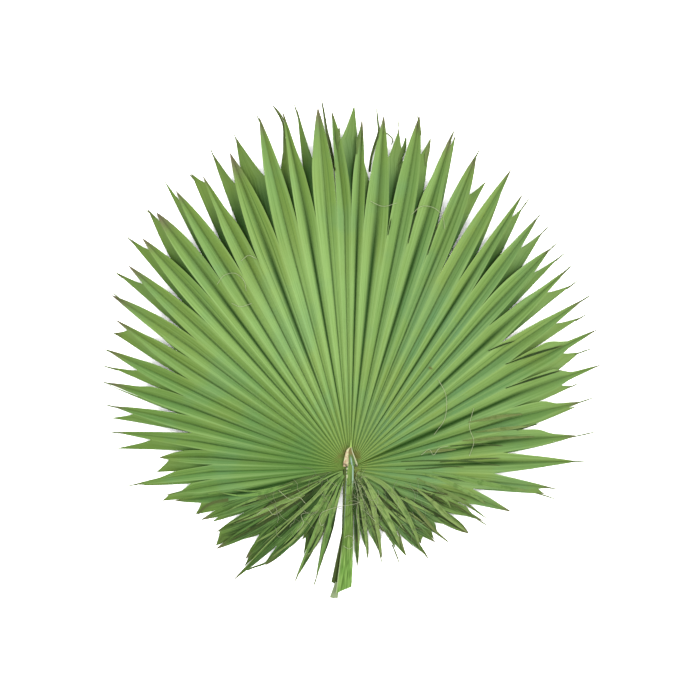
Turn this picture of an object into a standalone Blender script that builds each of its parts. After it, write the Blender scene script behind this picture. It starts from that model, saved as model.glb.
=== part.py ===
"""Fan palm leaf, cut and lying face up: a round pleated blade, its stalk and the flap at the hub.

Metres, +Z up, +Y towards the top of the fan. The origin is on the stalk's flat underside,
straight below the hub where all the pleats meet. Bearings are in degrees, clockwise from +Y
seen from above.
"""
import math
import random

import bmesh
import bpy

MM = 0.001

# Segments of the blade from its middle out to the stalk, on the left and on the right. Each
# row: bearing of the outer ridge; bearing and reach of the front tip; bearing and reach of the
# second, outer tip; how full the front lobe is; how much it has a shoulder with a needle
# beyond; where the second lobe leaves it, as a share of the free length; how much of the gap
# beside it the second lobe fills. Bearings are counted away from +Y, reaches are in
# millimetres from the hub.
FIRST_RIDGE = -2.9
LEFT_SEGMENTS = (
    (7.7, 5.1, 655, 8.4, 657, 2.21, 0.15, 0.54, 0.56),
    (12.1, 10.7, 658, 11, 606, 1.14, 0.15, 0.66, 1.3),
    (17.6, 14.5, 656, 19.1, 634, 1.41, 0, 0.54, 1.13), (23.8, 20.9, 612, 23.7, 626, 1.47, 0, 0.72, 0.5),
    (29, 26.8, 595, 28.4, 606, 1.35, 0.3, 0.92, 0.4), (34.5, 32.2, 594, 32.9, 623, 1.65, 0, 0.9, 0.37),
    (39.3, 37.2, 581, 38, 595, 2.61, 0, 0.91, 1.3), (44.5, 42.2, 562, 44, 580, 1.84, 0, 0.87, 0.33),
    (50.1, 47.7, 546, 50.2, 553, 1.29, 0, 0.76, 0.15), (55.5, 54.2, 535, 53.6, 492, 1.44, 0, 0.3, 0.3),
    (61.2, 57.8, 505, 60.4, 492, 1.05, 0.15, 0.82, 0.12),
    (66.5, 64.2, 492, 67.3, 471, 1.53, 0.15, 0.6, 0.21),
    (71.9, 70.8, 467, 71.1, 475, 1.69, 0.34, 0.59, 0.21),
    (77.3, 75.6, 448, 78.4, 445, 1.11, 0, 0.72, 0), (83, 81.5, 433, 85.5, 428, 0.85, 0, 0.6, 0.21),
    (88.5, 87.1, 347, 91.4, 351, 1.84, 0, 0.81, 0.55),
    (94.5, 94.6, 400, 94.8, 324, 0.85, 0.29, 0.81, 0.45),
    (100, 98.5, 342, 100.1, 337, 1.19, 0.9, 0.92, 0.54),
    (105.5, 100.7, 325, 106.9, 293, 1.65, 0.09, 0.6, 0.69),
    (112, 109.5, 288, 111.6, 270, 1.59, 0.19, 0.68, 0.3),
    (119, 115.8, 270, 120.2, 281, 1.17, 0, 0.92, 1.1),
    (125.5, 121.3, 286, 123, 220, 1.6, 0, 0.54, 0.97),
    (132, 131.3, 253, 133.2, 264, 2.3, 0.25, 0.92, 0.28),
    (138, 134, 298, 138.4, 238, 1.02, 0, 0.3, 0.31),
    (144.5, 139.1, 236, 143.1, 176, 2.39, 0, 0.54, 1.09),
    (150.5, 146.7, 158, 152.1, 181, 2.06, 0, 0.86, 0.27),
    (157.5, 154, 227, 155.3, 180, 1.34, 0, 0.63, 0.15), (164.5, 163.1, 216, 163, 194, 0.85, 0, 0.51, 0),
)
RIGHT_SEGMENTS = (
    (0.3, -3, 650, 0.7, 657, 1.75, 0, 0.72, 1.15), (3.2, 2, 635, 1.6, 576, 1.99, 0.15, 0.57, 0.95),
    (9, 5.5, 643, 8.2, 618, 1.35, 0, 0.66, 1.3), (14.2, 11.2, 650, 13.7, 614, 2.14, 0, 0.72, 0.56),
    (19.7, 17, 633, 17.6, 626, 2.14, 0.33, 0.91, 0.35), (24.7, 22, 612, 25.5, 576, 2.33, 0, 0.68, 0.01),
    (30, 28.4, 616, 28.9, 567, 1.28, 0, 0.45, 0.53), (34.5, 32.3, 590, 33.6, 566, 1.02, 0, 0.75, 0.74),
    (39, 36.9, 571, 39.3, 551, 1.65, 0.15, 0.66, 0.95),
    (44.2, 42.5, 539, 44.9, 540, 1.9, 0.04, 0.7, 0.28),
    (50.2, 47.7, 541, 50.6, 521, 0.85, 0.16, 0.66, 0), (56.3, 54.3, 527, 57, 500, 0.85, 0.1, 0.6, 0.15),
    (62.8, 60.9, 517, 63.4, 466, 1.9, 0.8, 0.56, 0.91),
    (69.5, 67.8, 495, 69.9, 430, 1.56, 0.8, 0.54, 0.36),
    (76.3, 74.3, 440, 75, 419, 1.5, 0.5, 0.81, 0.3), (84, 82.2, 421, 82.4, 406, 1.1, 0.4, 0.58, 0.15),
    (92, 88.5, 414, 89.5, 355, 0.85, 0, 0.58, 0), (99.5, 95.8, 371, 97.8, 353, 0.85, 0, 0.81, 0),
    (107, 105.4, 305, 105.2, 268, 0.96, 0.06, 0.6, 0.24),
    (114.5, 111.9, 262, 111.8, 239, 1.41, 0.56, 0.48, 0.45),
    (121.5, 119, 247, 119.2, 211, 2.71, 0, 0.43, 0.94),
    (129.5, 127.5, 224, 130.6, 202, 0.94, 0.94, 0.62, 0.28),
    (136, 131.1, 208, 137.2, 189, 1.75, 0, 0.7, 0.28), (143, 138.9, 215, 140.8, 194, 1.81, 0, 0.6, 0.3),
    (152, 147.6, 193, 150.6, 169, 1.6, 0.15, 0.66, 0),
    (164.5, 160.4, 173, 162.6, 132, 1.2, 0.21, 0.48, 0.24),
    (172, 167.8, 159, 170, 130, 1.81, 0, 0.54, 0.3), (178, 175.8, 184, 177.2, 120, 1.45, 0, 0.6, 0),
)
SEED = 11

# Blade
SHEET = 1.0 * MM             # thickness, measured straight up
RIB = 1.2 * MM               # how far the rib under a crease stands out at the hub
HUB_RADIUS = 7.9 * MM        # where the pleats start, 0.3 mm outside the stalk
FOOT_LEFT = 9 * MM           # how far the pleats' starts run down the stalk's left side
FOOT_RIGHT = 30 * MM         # and down its right side
FOOT_FADE = 165 * MM         # length over which the rays swing back to the hub's centre
HUB_HEIGHT = 8.5 * MM        # underside of the blade at the hub
DOME = 21 * MM               # arch of the longest segments between hub and tips
LONGEST = 660 * MM
PLEAT_SLOPE = 0.58           # rise of a pleat over its own half width
LOW_PLEATS = 0.35            # share of that rise left at the stalk's sides, where rays are dense
LIFTED_RIDGE = 69.5          # bearing of the ridge that stands up beside a deep fold
LIFTED_BY = 4 * MM
NOTCH_SHARE = 0.66           # notches cut in to this share of the reach
NOTCH_SHARE_TOP = 0.70
NOTCH_SHARE_LOW = 0.50       # beside the stalk, where the segments part almost to the hub
TIP_LIFT = 9 * MM            # the tips that don't touch the ground end up to this high
SLIT = 0.12                  # degrees kept clear between lobes
LOBE_CURVE = 1.6             # how long a second lobe keeps its width: 1 narrows evenly
LOBE_START = 0.06            # share of its length over which a second lobe opens from the notch

# Rows of points: shares of the way to the notch, then shares of the way to the cleft
WEB_ROWS = (0.0, 0.045, 0.15, 0.35, 0.66, 1.0)
FREE_ROWS = (0.12, 0.36, 0.66, 1.0)

# Stalk
STALK_HEIGHT = 13 * MM
STALK_HALF_WIDTH = 7.6 * MM
STALK_STATIONS = (           # y, left edge, right edge, height (millimetres)
    (0, -7.6, 7.6, 13), (-30, -8.0, 7.2, 13), (-67, -9.0, 6.6, 13.5), (-124, -11.3, 5.4, 14.5),
    (-180, -18.0, 5.0, 15), (-214, -25.0, 3.2, 15),
)
STALK_SECTION = (            # across as a share of the half width, up as a share of the height
    (-0.55, 0.0), (0.55, 0.0), (0.86, 0.20), (1.0, 0.62), (0.90, 0.90), (0.50, 1.0), (0.0, 0.93),
    (-0.50, 1.0), (-0.90, 0.90), (-1.0, 0.62), (-0.86, 0.20),
)
CUT_SLANT = 0.42             # the cut end runs back by this much for each unit to the left
HEAD_STEPS = (30, 58, 80)    # degrees round the stalk's rounded upper end
SLIVER = ((-17, -206), (-25, -210), (-38, -236), (-29, -240))   # torn strip at the cut (mm)
SLIVER_HEIGHT = 3 * MM

# Flap over the hub, the hastula: y, left edge, right edge (millimetres)
FLAP_STATIONS = (
    (2.5, -12.4, 14.0), (9, -12.2, 13.2), (16, -10.4, 10.4), (24, -8.8, 7.4), (31, -7.0, 4.6),
    (38, -0.2, 3.6), (43, 0.7, 3.0), (51, 1.3, 2.4),
)
FLAP_THICKNESS = 1.1 * MM
FLAP_CLEARANCE = 0.3 * MM
FLAP_SLOPE = 0.19
FLAP_CUP = 0.45              # rise from the flap's middle line to its edges, at its point


def clear_scene():
    for item in list(bpy.data.objects):
        bpy.data.objects.remove(item, do_unlink=True)


def make_material(name, colour, roughness):
    material = bpy.data.materials.new(name)
    material.use_nodes = True
    shader = material.node_tree.nodes["Principled BSDF"]
    shader.inputs["Base Color"].default_value = (*colour, 1.0)
    shader.inputs["Roughness"].default_value = roughness
    shader.inputs["Metallic"].default_value = 0.0
    return material


def mix(a, b, share):
    return a + (b - a) * share


def ease(share):
    share = min(max(share, 0.0), 1.0)
    return share * share * (3 - 2 * share)


def needle(share):
    """How far a lobe with a shoulder and a thin needle has narrowed, 0 at base to 1 at tip."""
    broad = 1 - 0.5 * share
    thin = 0.42 * (1 - share)
    return 1 - mix(broad, thin, ease((share - 0.42) / 0.24))


def foot_fade(radius):
    return max(0.0, 1 - (radius - HUB_RADIUS) / FOOT_FADE)


def place(bearing, radius):
    """Plan position of a point; low rays start along the stalk's sides, not at the centre."""
    angle = math.radians(bearing)
    x = radius * math.sin(angle)
    y = radius * math.cos(angle)
    if abs(bearing) > 90:
        foot = FOOT_LEFT if bearing < 0 else FOOT_RIGHT
        side = math.copysign(1.0, bearing)
        fade = foot_fade(radius)
        x += (side - math.sin(angle)) * HUB_RADIUS * fade
        y -= ((abs(bearing) - 90) / 90 * foot + HUB_RADIUS * math.cos(angle)) * fade
    return x, y


def crease_height(radius, reach, lift):
    """Height of the blade's underside along a crease."""
    share = min(radius / reach, 1.0)
    arch = DOME * reach / LONGEST * math.sin(math.pi * share ** 0.8)
    return HUB_HEIGHT * (1 - share) ** 2 + arch + lift * share ** 4


class Ridge:
    """The line between two segments, or a free edge of the blade beside the stalk."""

    def __init__(self, bearing, before, after):
        beside = [segment for segment in (before, after) if segment]
        self.bearing = bearing
        self.reach = sum(segment.reach for segment in beside) / len(beside)
        self.lift = sum(segment.lift for segment in beside) / len(beside)
        self.half_width = math.radians(sum(segment.pitch for segment in beside) / len(beside) / 2)
        away = abs(bearing)
        share = mix(NOTCH_SHARE_TOP, NOTCH_SHARE, ease(away / 20))
        share = mix(share, NOTCH_SHARE_LOW, ease((away - 110) / 45))
        self.notch = self.reach * share

    def rise(self, radius):
        dense = ease((abs(self.bearing) - 90) / 40) * foot_fade(radius)
        rise = PLEAT_SLOPE * self.half_width * radius * mix(1, LOW_PLEATS, dense)
        if self.bearing == LIFTED_RIDGE:
            rise += LIFTED_BY * math.sin(math.pi * min(radius / self.notch, 1.0))
        return rise

    def height(self, radius):
        return crease_height(radius, self.reach, self.lift) + self.rise(radius)


class Segment:
    """One pleat of the fan with its front tip and its second tip on the side away from the top."""

    def __init__(self, side, inner, row, chance):
        bearing, tip, reach, second_tip, second_reach, full, shoulder, cleft, fill = row
        self.side = side
        self.outer_bearing = side * bearing
        self.pitch = abs(self.outer_bearing - inner)
        self.valley = mix(inner, self.outer_bearing, 0.5)
        self.tip = side * tip
        self.reach = reach * MM
        self.second_tip = side * second_tip
        self.second_reach = second_reach * MM
        self.full = full
        self.shoulder = shoulder
        self.cleft = cleft
        self.fill = fill
        self.wing_slope = mix(0.8, 0.25, ease((abs(self.valley) - 30) / 35))
        self.lift = chance.choice((0.0, 0.0, 0.5, 1.0)) * TIP_LIFT * chance.random()
        self.second_lift = chance.choice((0.0, 0.5, 1.0)) * TIP_LIFT * chance.random()
        self.inner = None
        self.outer = None
        self.next_out = None

    def margin(self, ridge, share):
        """Bearing, radius and height on the margin that leaves a ridge's notch for the tip."""
        bearing = mix(ridge.bearing, self.tip, self.taper(share))
        radius = mix(ridge.notch, self.reach, share)
        own = crease_height(radius, self.reach, self.lift)
        shared = crease_height(radius, ridge.reach, ridge.lift)
        half_width = math.radians(abs(bearing - self.crease_bearing(share)))
        start = math.radians(abs(ridge.bearing - self.valley)) * ridge.notch
        spare = ridge.rise(ridge.notch) - PLEAT_SLOPE * start
        rise = PLEAT_SLOPE * half_width * radius + spare * (1 - share)
        return bearing, radius, mix(shared, own, ease(share)) + rise

    def taper(self, share):
        """How far a margin has come in from the ridge to the tip."""
        share = min(max(share, 0.0), 1.0)
        return mix(share ** self.full, needle(share), self.shoulder)

    def crease_bearing(self, share):
        return mix(self.valley, self.tip, share)

    def crease(self, share):
        radius = mix((self.inner.notch + self.outer.notch) / 2, self.reach, share)
        return self.crease_bearing(share), radius, crease_height(radius, self.reach, self.lift)

    def free_share(self, radius, reach):
        """Share of the way from the outer notch to a tip, at a radius."""
        notch = self.outer.notch
        return min(max((radius - notch) / (reach - notch), 0.0), 1.0)

    def room(self, radius):
        """Degrees between the outer ridge and the next segment's margin at a radius."""
        if not self.next_out:
            return 0.0
        share = self.free_share(radius, self.next_out.reach)
        return abs(self.next_out.tip - self.outer_bearing) * self.next_out.taper(share)

    def wing_span(self, inside, radius):
        """Bearings of the second lobe's two edges, clear of the next segment's margin."""
        share = self.free_share(radius, self.second_reach)
        gap = (self.next_out or self).pitch / 2
        swing = self.side * (self.second_tip - self.outer_bearing)
        spread = self.fill * gap * (1 - share ** LOBE_CURVE) * min(share / LOBE_START, 1.0)
        room = self.room(radius)
        ridge = self.side * self.outer_bearing
        limit = ridge + max(room - SLIT, 0.6 * room)
        inside *= self.side
        edge = min(max(ridge + swing * share + spread, inside + SLIT), limit)
        return self.side * min(inside, edge - SLIT / 2), self.side * edge

    def beside_front(self, bearing, radius):
        """The bearing, moved outward where needed to be clear of the front lobe's margin."""
        share = self.free_share(radius, self.reach)
        margin = mix(self.outer_bearing, self.tip, self.taper(share))
        return self.side * max(self.side * bearing, self.side * margin + SLIT)

    def wing_drop(self, width, radius, height):
        slope = mix(0.8, self.wing_slope, ease(self.free_share(radius, self.second_reach) / 0.5))
        return min(slope * width, 0.75 * height)


def lay_out_segments():
    """All segments from the stalk's left side round to its right side, and their ridges."""
    chance = random.Random(SEED)
    sides = []
    for side, rows in ((-1, LEFT_SEGMENTS), (1, RIGHT_SEGMENTS)):
        inner = FIRST_RIDGE
        made = []
        for row in rows:
            made.append(Segment(side, inner, row, chance))
            inner = made[-1].outer_bearing
        for segment, next_out in zip(made, made[1:]):
            segment.next_out = next_out
        sides.append(made)
    left, right = sides
    segments = left[::-1] + right
    bearings = [segment.outer_bearing for segment in left[::-1]] + [FIRST_RIDGE]
    bearings += [segment.outer_bearing for segment in right]
    ridges = [
        Ridge(bearing, before, after)
        for bearing, before, after in zip(bearings, [None] + segments, segments + [None])
    ]
    for number, segment in enumerate(segments):
        pair = (ridges[number], ridges[number + 1])
        segment.outer, segment.inner = pair if segment.side < 0 else pair[::-1]
        leaves = mix(segment.outer.notch, segment.reach, segment.cleft)
        segment.second_reach = max(segment.second_reach, 1.04 * leaves)
    return segments, ridges


class Sheet:
    """A thin body laid out as a sheet of triangles and extruded straight up."""

    def __init__(self):
        self.mesh = bmesh.new()
        self.ribs = []

    def point(self, bearing, radius, height):
        x, y = place(bearing, radius)
        return self.mesh.verts.new((x, y, height))

    def rib(self, vertex, depth):
        self.ribs.append((vertex, depth))
        return vertex

    def strip(self, first, second, side=1):
        """Two triangles for each pair of neighbours in two rows of points."""
        for a, b, c, d in zip(first, first[1:], second[1:], second):
            for corners in ((a, b, c), (a, c, d)):
                if len(set(corners)) == 3:
                    self.mesh.faces.new(corners[::side])

    def make(self, name, thickness, material):
        bm = self.mesh
        raised = bmesh.ops.extrude_face_region(bm, geom=list(bm.faces))
        for item in raised["geom"]:
            if isinstance(item, bmesh.types.BMVert):
                item.co.z += thickness
        for vertex, depth in self.ribs:
            vertex.co.z -= depth
        bmesh.ops.triangulate(bm, faces=[face for face in bm.faces if len(face.verts) > 3])
        bmesh.ops.recalc_face_normals(bm, faces=list(bm.faces))
        return finish_object(name, bm, material)


def finish_object(name, bm, material):
    mesh = bpy.data.meshes.new(name)
    bm.to_mesh(mesh)
    bm.free()
    mesh.materials.append(material)
    item = bpy.data.objects.new(name, mesh)
    bpy.context.scene.collection.objects.link(item)
    return item


def build_blade(material):
    """The pleated web out to the notches, then each segment's two lobes out to their tips."""
    segments, ridges = lay_out_segments()
    sheet = Sheet()
    rows = []
    for share in WEB_ROWS:
        row = []
        for number, ridge in enumerate(ridges):
            radius = mix(HUB_RADIUS, ridge.notch, share)
            row.append(sheet.point(ridge.bearing, radius, ridge.height(radius)))
            if number < len(segments):
                segment = segments[number]
                radius = mix(HUB_RADIUS, (segment.inner.notch + segment.outer.notch) / 2, share)
                height = crease_height(radius, segment.reach, segment.lift)
                vertex = sheet.point(segment.valley, radius, height)
                row.append(sheet.rib(vertex, RIB * (1 - radius / segment.reach)))
        rows.append(row)
    for first, second in zip(rows, rows[1:]):
        sheet.strip(first, second)
    for number, segment in enumerate(segments):
        corners = rows[-1][2 * number:2 * number + 3]
        if segment.side < 0:
            corners = corners[::-1]
        add_lobes(sheet, segment, corners)
    return sheet.make("blade", SHEET, material)


def wing_points(sheet, segment, inside, radius, height):
    """Two points across the second lobe: its upper edge and its lower, outer edge."""
    inside, edge = segment.wing_span(inside, radius)
    width = math.radians(abs(edge - inside)) * radius
    drop = segment.wing_drop(width, radius, height)
    return [sheet.point(inside, radius, height), sheet.point(edge, radius, height - drop)]


def add_lobes(sheet, segment, corners):
    """The free part of a segment, from the notches at its two ridges to its two tips."""
    inner, valley, outer = corners
    row = [inner, valley, outer, outer]
    for step in FREE_ROWS:
        share = step * segment.cleft
        bearing, radius, height = segment.margin(segment.outer, share)
        front = [
            sheet.point(*segment.margin(segment.inner, share)),
            sheet.rib(sheet.point(*segment.crease(share)), RIB / 4),
        ]
        following = front + wing_points(sheet, segment, bearing, radius, height)
        sheet.strip(row, following, segment.side)
        row = following
    half = (1 + segment.cleft) / 2
    middle = [
        sheet.point(*segment.margin(segment.inner, half)),
        sheet.point(*segment.crease(half)),
        sheet.point(*segment.margin(segment.outer, half)),
    ]
    tip = sheet.point(segment.tip, segment.reach, segment.lift)
    sheet.strip(row[:3], middle, segment.side)
    sheet.strip(middle, [tip] * 3, segment.side)
    add_second_tip(sheet, segment, row[2:], (bearing, radius, height))


def add_second_tip(sheet, segment, row, cleft):
    """The second lobe beyond the cleft: one row half way, then the tip."""
    bearing, radius, height = cleft
    half_radius = mix(radius, segment.second_reach, 0.5)
    inside = segment.beside_front(mix(bearing, segment.second_tip, 0.57), half_radius)
    level = mix(height, segment.second_lift, 0.5)
    middle = wing_points(sheet, segment, inside, half_radius, level)
    tip_bearing = segment.beside_front(segment.second_tip, segment.second_reach)
    tip_bearing = segment.wing_span(tip_bearing, segment.second_reach)[0]
    tip = sheet.point(tip_bearing, segment.second_reach, segment.second_lift)
    sheet.strip(row, middle, segment.side)
    sheet.strip(middle, [tip] * 2, segment.side)


def loft(bm, rings):
    """Close a row of rings of points, each with the same number of points, into a body."""
    made = [[bm.verts.new(point) for point in ring] for ring in rings]
    for first, second in zip(made, made[1:]):
        for number, corner in enumerate(first):
            after = (number + 1) % len(first)
            bm.faces.new((corner, first[after], second[after], second[number]))
    bm.faces.new(made[0][::-1])
    bm.faces.new(made[-1])


def stalk_ring(y, left, right, height, slant=0.0):
    """One cross-section of the stalk: flat below, rounded sides and a shallow channel on top."""
    middle = (left + right) / 2
    half_width = (right - left) / 2
    ring = []
    for across, up in STALK_SECTION:
        x = middle + across * half_width
        ring.append((x, y - slant * (right - x), up * height))
    return ring


def build_stalk(material):
    """The stalk from its rounded end in the hub to its slanted cut, with a torn sliver there."""
    bm = bmesh.new()
    rings = []
    for step in reversed(HEAD_STEPS):
        angle = math.radians(step)
        half_width = STALK_HALF_WIDTH * math.cos(angle)
        height = STALK_HEIGHT * mix(0.93, 1.0, math.cos(angle))
        rings.append(stalk_ring(STALK_HALF_WIDTH * math.sin(angle), -half_width, half_width, height))
    for station in STALK_STATIONS:
        y, left, right, height = (value * MM for value in station)
        slant = CUT_SLANT if station == STALK_STATIONS[-1] else 0.0
        rings.append(stalk_ring(y, left, right, height, slant))
    loft(bm, rings)
    bmesh.ops.recalc_face_normals(bm, faces=list(bm.faces))
    stalk = finish_object("stalk", bm, material)
    join_sliver(stalk, material)
    stalk.data.shade_smooth()
    stalk.data.set_sharp_from_angle(angle=math.radians(35))
    return stalk


def join_sliver(stalk, material):
    """A strip of the stalk's skin torn down past the cut, joined to the stalk."""
    bm = bmesh.new()
    low = [bm.verts.new((x * MM, y * MM, 0.2 * MM)) for x, y in SLIVER]
    face = bm.faces.new(low)
    raised = bmesh.ops.extrude_face_region(bm, geom=[face])
    for item in raised["geom"]:
        if isinstance(item, bmesh.types.BMVert):
            item.co.z += SLIVER_HEIGHT
    bmesh.ops.recalc_face_normals(bm, faces=list(bm.faces))
    sliver = finish_object("sliver", bm, material)
    union = stalk.modifiers.new("sliver", "BOOLEAN")
    union.operation = "UNION"
    union.object = sliver
    bpy.context.view_layer.objects.active = stalk
    bpy.ops.object.modifier_apply(modifier=union.name)
    bpy.data.objects.remove(sliver, do_unlink=True)


def build_flap(material):
    """The hastula: a papery pointed flap that stands over the hub on the stalk's end."""
    sheet = Sheet()
    rows = []
    for number, station in enumerate(FLAP_STATIONS):
        y, left, right = (value * MM for value in station)
        cup_here = FLAP_CUP * number / (len(FLAP_STATIONS) - 1)
        height = STALK_HEIGHT + FLAP_CLEARANCE + FLAP_SLOPE * (y - FLAP_STATIONS[0][0] * MM)
        row = []
        for share in (0.0, 0.25, 0.5, 0.75, 1.0):
            x = mix(left, right, share)
            cup = cup_here * abs(share - 0.5) * (right - left)
            row.append(sheet.mesh.verts.new((x, y, height + cup)))
        rows.append(row)
    for first, second in zip(rows, rows[1:]):
        sheet.strip(first, second)
    return sheet.make("hastula", FLAP_THICKNESS, material)


def build():
    clear_scene()
    build_blade(make_material("leaf green", (0.16, 0.33, 0.07), 0.55))
    build_stalk(make_material("stalk green", (0.24, 0.40, 0.13), 0.45))
    build_flap(make_material("dry flap", (0.62, 0.47, 0.33), 0.8))


build()
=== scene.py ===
import math
import random

import bmesh
import bpy
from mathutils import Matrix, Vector, noise
from mathutils.bvhtree import BVHTree


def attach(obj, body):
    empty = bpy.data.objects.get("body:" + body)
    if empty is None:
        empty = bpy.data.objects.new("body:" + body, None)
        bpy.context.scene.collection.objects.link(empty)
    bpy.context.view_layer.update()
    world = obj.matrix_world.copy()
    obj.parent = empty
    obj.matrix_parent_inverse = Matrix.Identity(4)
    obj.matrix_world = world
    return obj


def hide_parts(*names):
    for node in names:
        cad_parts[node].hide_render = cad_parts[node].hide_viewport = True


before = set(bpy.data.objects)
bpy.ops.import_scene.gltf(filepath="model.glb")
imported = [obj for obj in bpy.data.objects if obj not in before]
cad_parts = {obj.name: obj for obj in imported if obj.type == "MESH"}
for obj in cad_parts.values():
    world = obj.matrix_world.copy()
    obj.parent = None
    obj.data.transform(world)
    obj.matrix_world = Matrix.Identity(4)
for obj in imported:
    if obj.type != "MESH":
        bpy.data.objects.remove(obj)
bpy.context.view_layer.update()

# Fan palm leaf, lying face up on a pale floor and seen from straight above.
# Metres, +Z up. The origin is on the stalk's underside, below the hub where the pleats meet.
# Bearings are in degrees, clockwise from +Y seen from above.
MM = 0.001

# Segments of the blade from its middle out to the stalk. Each row: bearing of the outer
# ridge; bearing and reach of the front tip; bearing and reach of the second tip; how full the
# front lobe is; how much it has a shoulder with a needle beyond; where the second lobe leaves
# it, as a share of the free length; how much of the gap beside it the second lobe fills.
# Bearings are counted away from +Y, reaches are in millimetres from the hub.
FIRST_RIDGE = -2.9
LEFT_SEGMENTS = (
    (7.7, 5.1, 655, 8.4, 657, 2.21, 0.15, 0.54, 0.56),
    (12.1, 10.7, 658, 11.0, 606, 1.14, 0.15, 0.66, 1.30),
    (17.6, 14.5, 656, 19.1, 634, 1.41, 0.00, 0.54, 1.13),
    (23.8, 20.9, 612, 23.7, 626, 1.47, 0.00, 0.72, 0.50),
    (29, 26.8, 595, 28.4, 606, 1.35, 0.30, 0.92, 0.40),
    (34.5, 32.2, 594, 32.9, 623, 1.65, 0.00, 0.90, 0.37),
    (39.3, 37.2, 581, 38.0, 595, 2.61, 0.00, 0.91, 1.30),
    (44.5, 42.2, 562, 44.0, 580, 1.84, 0.00, 0.87, 0.33),
    (50.1, 47.7, 546, 50.2, 553, 1.29, 0.00, 0.76, 0.15),
    (55.5, 54.2, 535, 53.6, 492, 1.44, 0.00, 0.30, 0.30),
    (61.2, 57.8, 505, 60.4, 492, 1.05, 0.15, 0.82, 0.12),
    (66.5, 64.2, 492, 67.3, 471, 1.53, 0.15, 0.60, 0.21),
    (71.9, 70.8, 467, 71.1, 475, 1.69, 0.34, 0.59, 0.21),
    (77.3, 75.6, 448, 78.4, 445, 1.11, 0.00, 0.72, 0.00),
    (83, 81.5, 433, 85.5, 428, 0.85, 0.00, 0.60, 0.21),
    (88.5, 87.1, 347, 91.4, 351, 1.84, 0.00, 0.81, 0.55),
    (94.5, 94.6, 400, 94.8, 324, 0.85, 0.29, 0.81, 0.45),
    (100, 98.5, 342, 100.1, 337, 1.19, 0.90, 0.92, 0.54),
    (105.5, 100.7, 325, 106.9, 293, 1.65, 0.09, 0.60, 0.69),
    (112, 109.5, 288, 111.6, 270, 1.59, 0.19, 0.68, 0.30),
    (119, 115.8, 270, 120.2, 281, 1.17, 0.00, 0.92, 1.10),
    (125.5, 121.3, 286, 123.0, 220, 1.60, 0.00, 0.54, 0.97),
    (132, 131.3, 253, 133.2, 264, 2.30, 0.25, 0.92, 0.28),
    (138, 134.0, 298, 138.4, 238, 1.02, 0.00, 0.30, 0.31),
    (144.5, 139.1, 236, 143.1, 176, 2.39, 0.00, 0.54, 1.09),
    (150.5, 146.7, 158, 152.1, 181, 2.06, 0.00, 0.86, 0.27),
    (157.5, 154.0, 227, 155.3, 180, 1.34, 0.00, 0.63, 0.15),
    (164.5, 163.1, 216, 163.0, 194, 0.85, 0.00, 0.51, 0.00),
)
RIGHT_SEGMENTS = (
    (0.3, -3.0, 650, 0.7, 657, 1.75, 0.00, 0.72, 1.15),
    (3.2, 2.0, 635, 1.6, 576, 1.99, 0.15, 0.57, 0.95),
    (9, 5.5, 643, 8.2, 618, 1.35, 0.00, 0.66, 1.30),
    (14.2, 11.2, 650, 13.7, 614, 2.14, 0.00, 0.72, 0.56),
    (19.7, 17.0, 633, 17.6, 626, 2.14, 0.33, 0.91, 0.35),
    (24.7, 22.0, 612, 25.5, 576, 2.33, 0.00, 0.68, 0.01),
    (30, 28.4, 616, 28.9, 567, 1.28, 0.00, 0.45, 0.53),
    (34.5, 32.3, 590, 33.6, 566, 1.02, 0.00, 0.75, 0.74),
    (39, 36.9, 571, 39.3, 551, 1.65, 0.15, 0.66, 0.95),
    (44.2, 42.5, 539, 44.9, 540, 1.90, 0.04, 0.70, 0.28),
    (50.2, 47.7, 541, 50.6, 521, 0.85, 0.16, 0.66, 0.00),
    (56.3, 54.3, 527, 57.0, 500, 0.85, 0.10, 0.60, 0.15),
    (62.8, 60.9, 517, 63.4, 466, 1.90, 0.80, 0.56, 0.91),
    (69.5, 67.8, 495, 69.9, 430, 1.56, 0.80, 0.54, 0.36),
    (76.3, 74.3, 440, 75.0, 419, 1.50, 0.50, 0.81, 0.30),
    (84, 82.2, 421, 82.4, 406, 1.10, 0.40, 0.58, 0.15),
    (92, 88.5, 414, 89.5, 355, 0.85, 0.00, 0.58, 0.00),
    (99.5, 95.8, 371, 97.8, 353, 0.85, 0.00, 0.81, 0.00),
    (107, 105.4, 305, 105.2, 268, 0.96, 0.06, 0.60, 0.24),
    (114.5, 111.9, 262, 111.8, 239, 1.41, 0.56, 0.48, 0.45),
    (121.5, 119.0, 247, 119.2, 211, 2.71, 0.00, 0.43, 0.94),
    (129.5, 127.5, 224, 130.6, 202, 0.94, 0.94, 0.62, 0.28),
    (136, 131.1, 208, 137.2, 189, 1.75, 0.00, 0.70, 0.28),
    (143, 138.9, 215, 140.8, 194, 1.81, 0.00, 0.60, 0.30),
    (152, 147.6, 193, 150.6, 169, 1.60, 0.15, 0.66, 0.00),
    (164.5, 160.4, 173, 162.6, 132, 1.20, 0.21, 0.48, 0.24),
    (172, 167.8, 159, 170.0, 130, 1.81, 0.00, 0.54, 0.30),
    (178, 175.8, 184, 177.2, 120, 1.45, 0.00, 0.60, 0.00),
)
SEED = 11

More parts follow.
